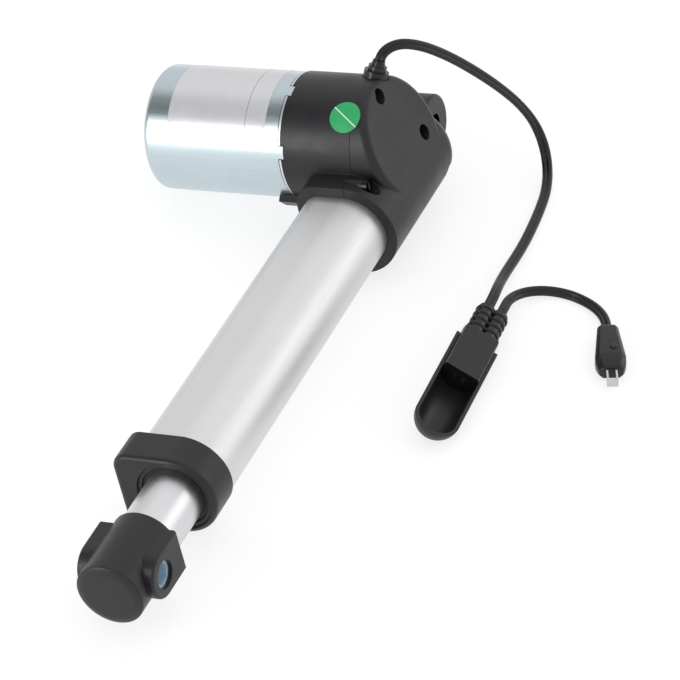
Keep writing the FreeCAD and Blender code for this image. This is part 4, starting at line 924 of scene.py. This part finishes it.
floor_tree.links.new(glow.outputs[0], floor_shader.inputs["Emission Strength"])
floor_shader.inputs["Emission Color"].default_value = linear("#ffffff")
floor_shader.inputs["Roughness"].default_value = FLOOR_ROUGHNESS
floor_shader.inputs["Specular IOR Level"].default_value = 0.0
floor_mesh = bpy.data.meshes.new("studio_floor")
floor_mesh.from_pydata([(x * FLOOR_HALF, y * FLOOR_HALF, table_height) for x, y in FLOOR_CORNERS],
                       [], [(0, 1, 2, 3)])
floor_mesh.materials.append(floor_paint)
floor = bpy.data.objects.new("studio_floor", floor_mesh)
bpy.context.scene.collection.objects.link(floor)
print("floor: %.0f m wide" % (2 * FLOOR_HALF))

# %% [markdown]
# The sky is an even white. A dark card on its left draws the dark line beside the can's bright one, as is
# usual for pictures of metal. A real card would be one more object that casts a shadow, so it is a soft
# round darker place in the sky: the nearer a ray points to the card's middle, the less light it brings.

# %% Sky
SKY_LIGHT = 0.85
CARD_LIGHT = 0.2
CARD_WAY = Vector((0.35, -0.65, 0.65)).normalized()
CARD_RIM = 0.8
CARD_CORE = 0.98
world = bpy.data.worlds.new("even_sky")
bpy.context.scene.world = world
world.use_nodes = True
sky_tree = world.node_tree
sky_rays = add_node(sky_tree, "ShaderNodeLightPath").outputs
way = add_node(sky_tree, "ShaderNodeTexCoord").outputs["Generated"]
towards = add_node(sky_tree, "ShaderNodeVectorMath", {"operation": "DOT_PRODUCT"}, {0: way, 1: CARD_WAY})
card = add_node(sky_tree, "ShaderNodeMapRange", {"interpolation_type": "SMOOTHSTEP"}, {
    "Value": towards.outputs["Value"], "From Min": CARD_RIM, "From Max": CARD_CORE,
    "To Min": SKY_LIGHT, "To Max": CARD_LIGHT})
sky_level = add_node(sky_tree, "ShaderNodeMapRange", inputs={
    "Value": sky_rays["Is Camera Ray"], "To Min": card.outputs["Result"], "To Max": 1.0})
sky = sky_tree.nodes["Background"]
sky.inputs["Color"].default_value = linear("#ffffff")
sky_tree.links.new(sky_level.outputs["Result"], sky.inputs["Strength"])
print("card: soft from %.0f to %.0f degrees off its middle" % (
    math.degrees(math.acos(CARD_CORE)), math.degrees(math.acos(CARD_RIM))))

# %% [markdown]
# Three soft boxes light the part. One hangs high behind it and lights its upper sides. Two stand low on
# its left and right: in the round skins they leave the long bright lines of the picture. Spot lamps would
# leave hard points there instead.

# %% Lamps
SOFT_BOXES = (  # name, place, aim, width and height, watts
    ("high_box", (-0.7, 0.0, 1.35), (0.15, 0, 0), (1.8, 1.8), 2),
    ("left_box", (1.3, -0.81, 0.5), (0.08, -0.05, 0.02), (0.45, 0.9), 8),
    ("right_box", (-0.79, 1.02, 0.5), (0.22, 0, 0), (0.45, 0.9), 1.8))
for name, place, aim, size, watts in SOFT_BOXES:
    light = bpy.data.lights.new(name, "AREA")
    light.shape = "RECTANGLE"
    light.size, light.size_y = size
    light.energy = watts
    lamp = bpy.data.objects.new(name, light)
    lamp.location = place
    lamp.rotation_euler = (Vector(aim) - Vector(place)).to_track_quat("-Z", "Y").to_euler()
    bpy.context.scene.collection.objects.link(lamp)
    print(name, watts, "W")
bpy.context.scene.view_settings.view_transform = "Standard"

# %% [markdown]
# Looks must not change the size. The box from the first cell is printed here, in millimetres.

# %% Size
print("CAD box, mm:", [round((high - low) / MM, 1) for low, high in zip(*cad_box)])
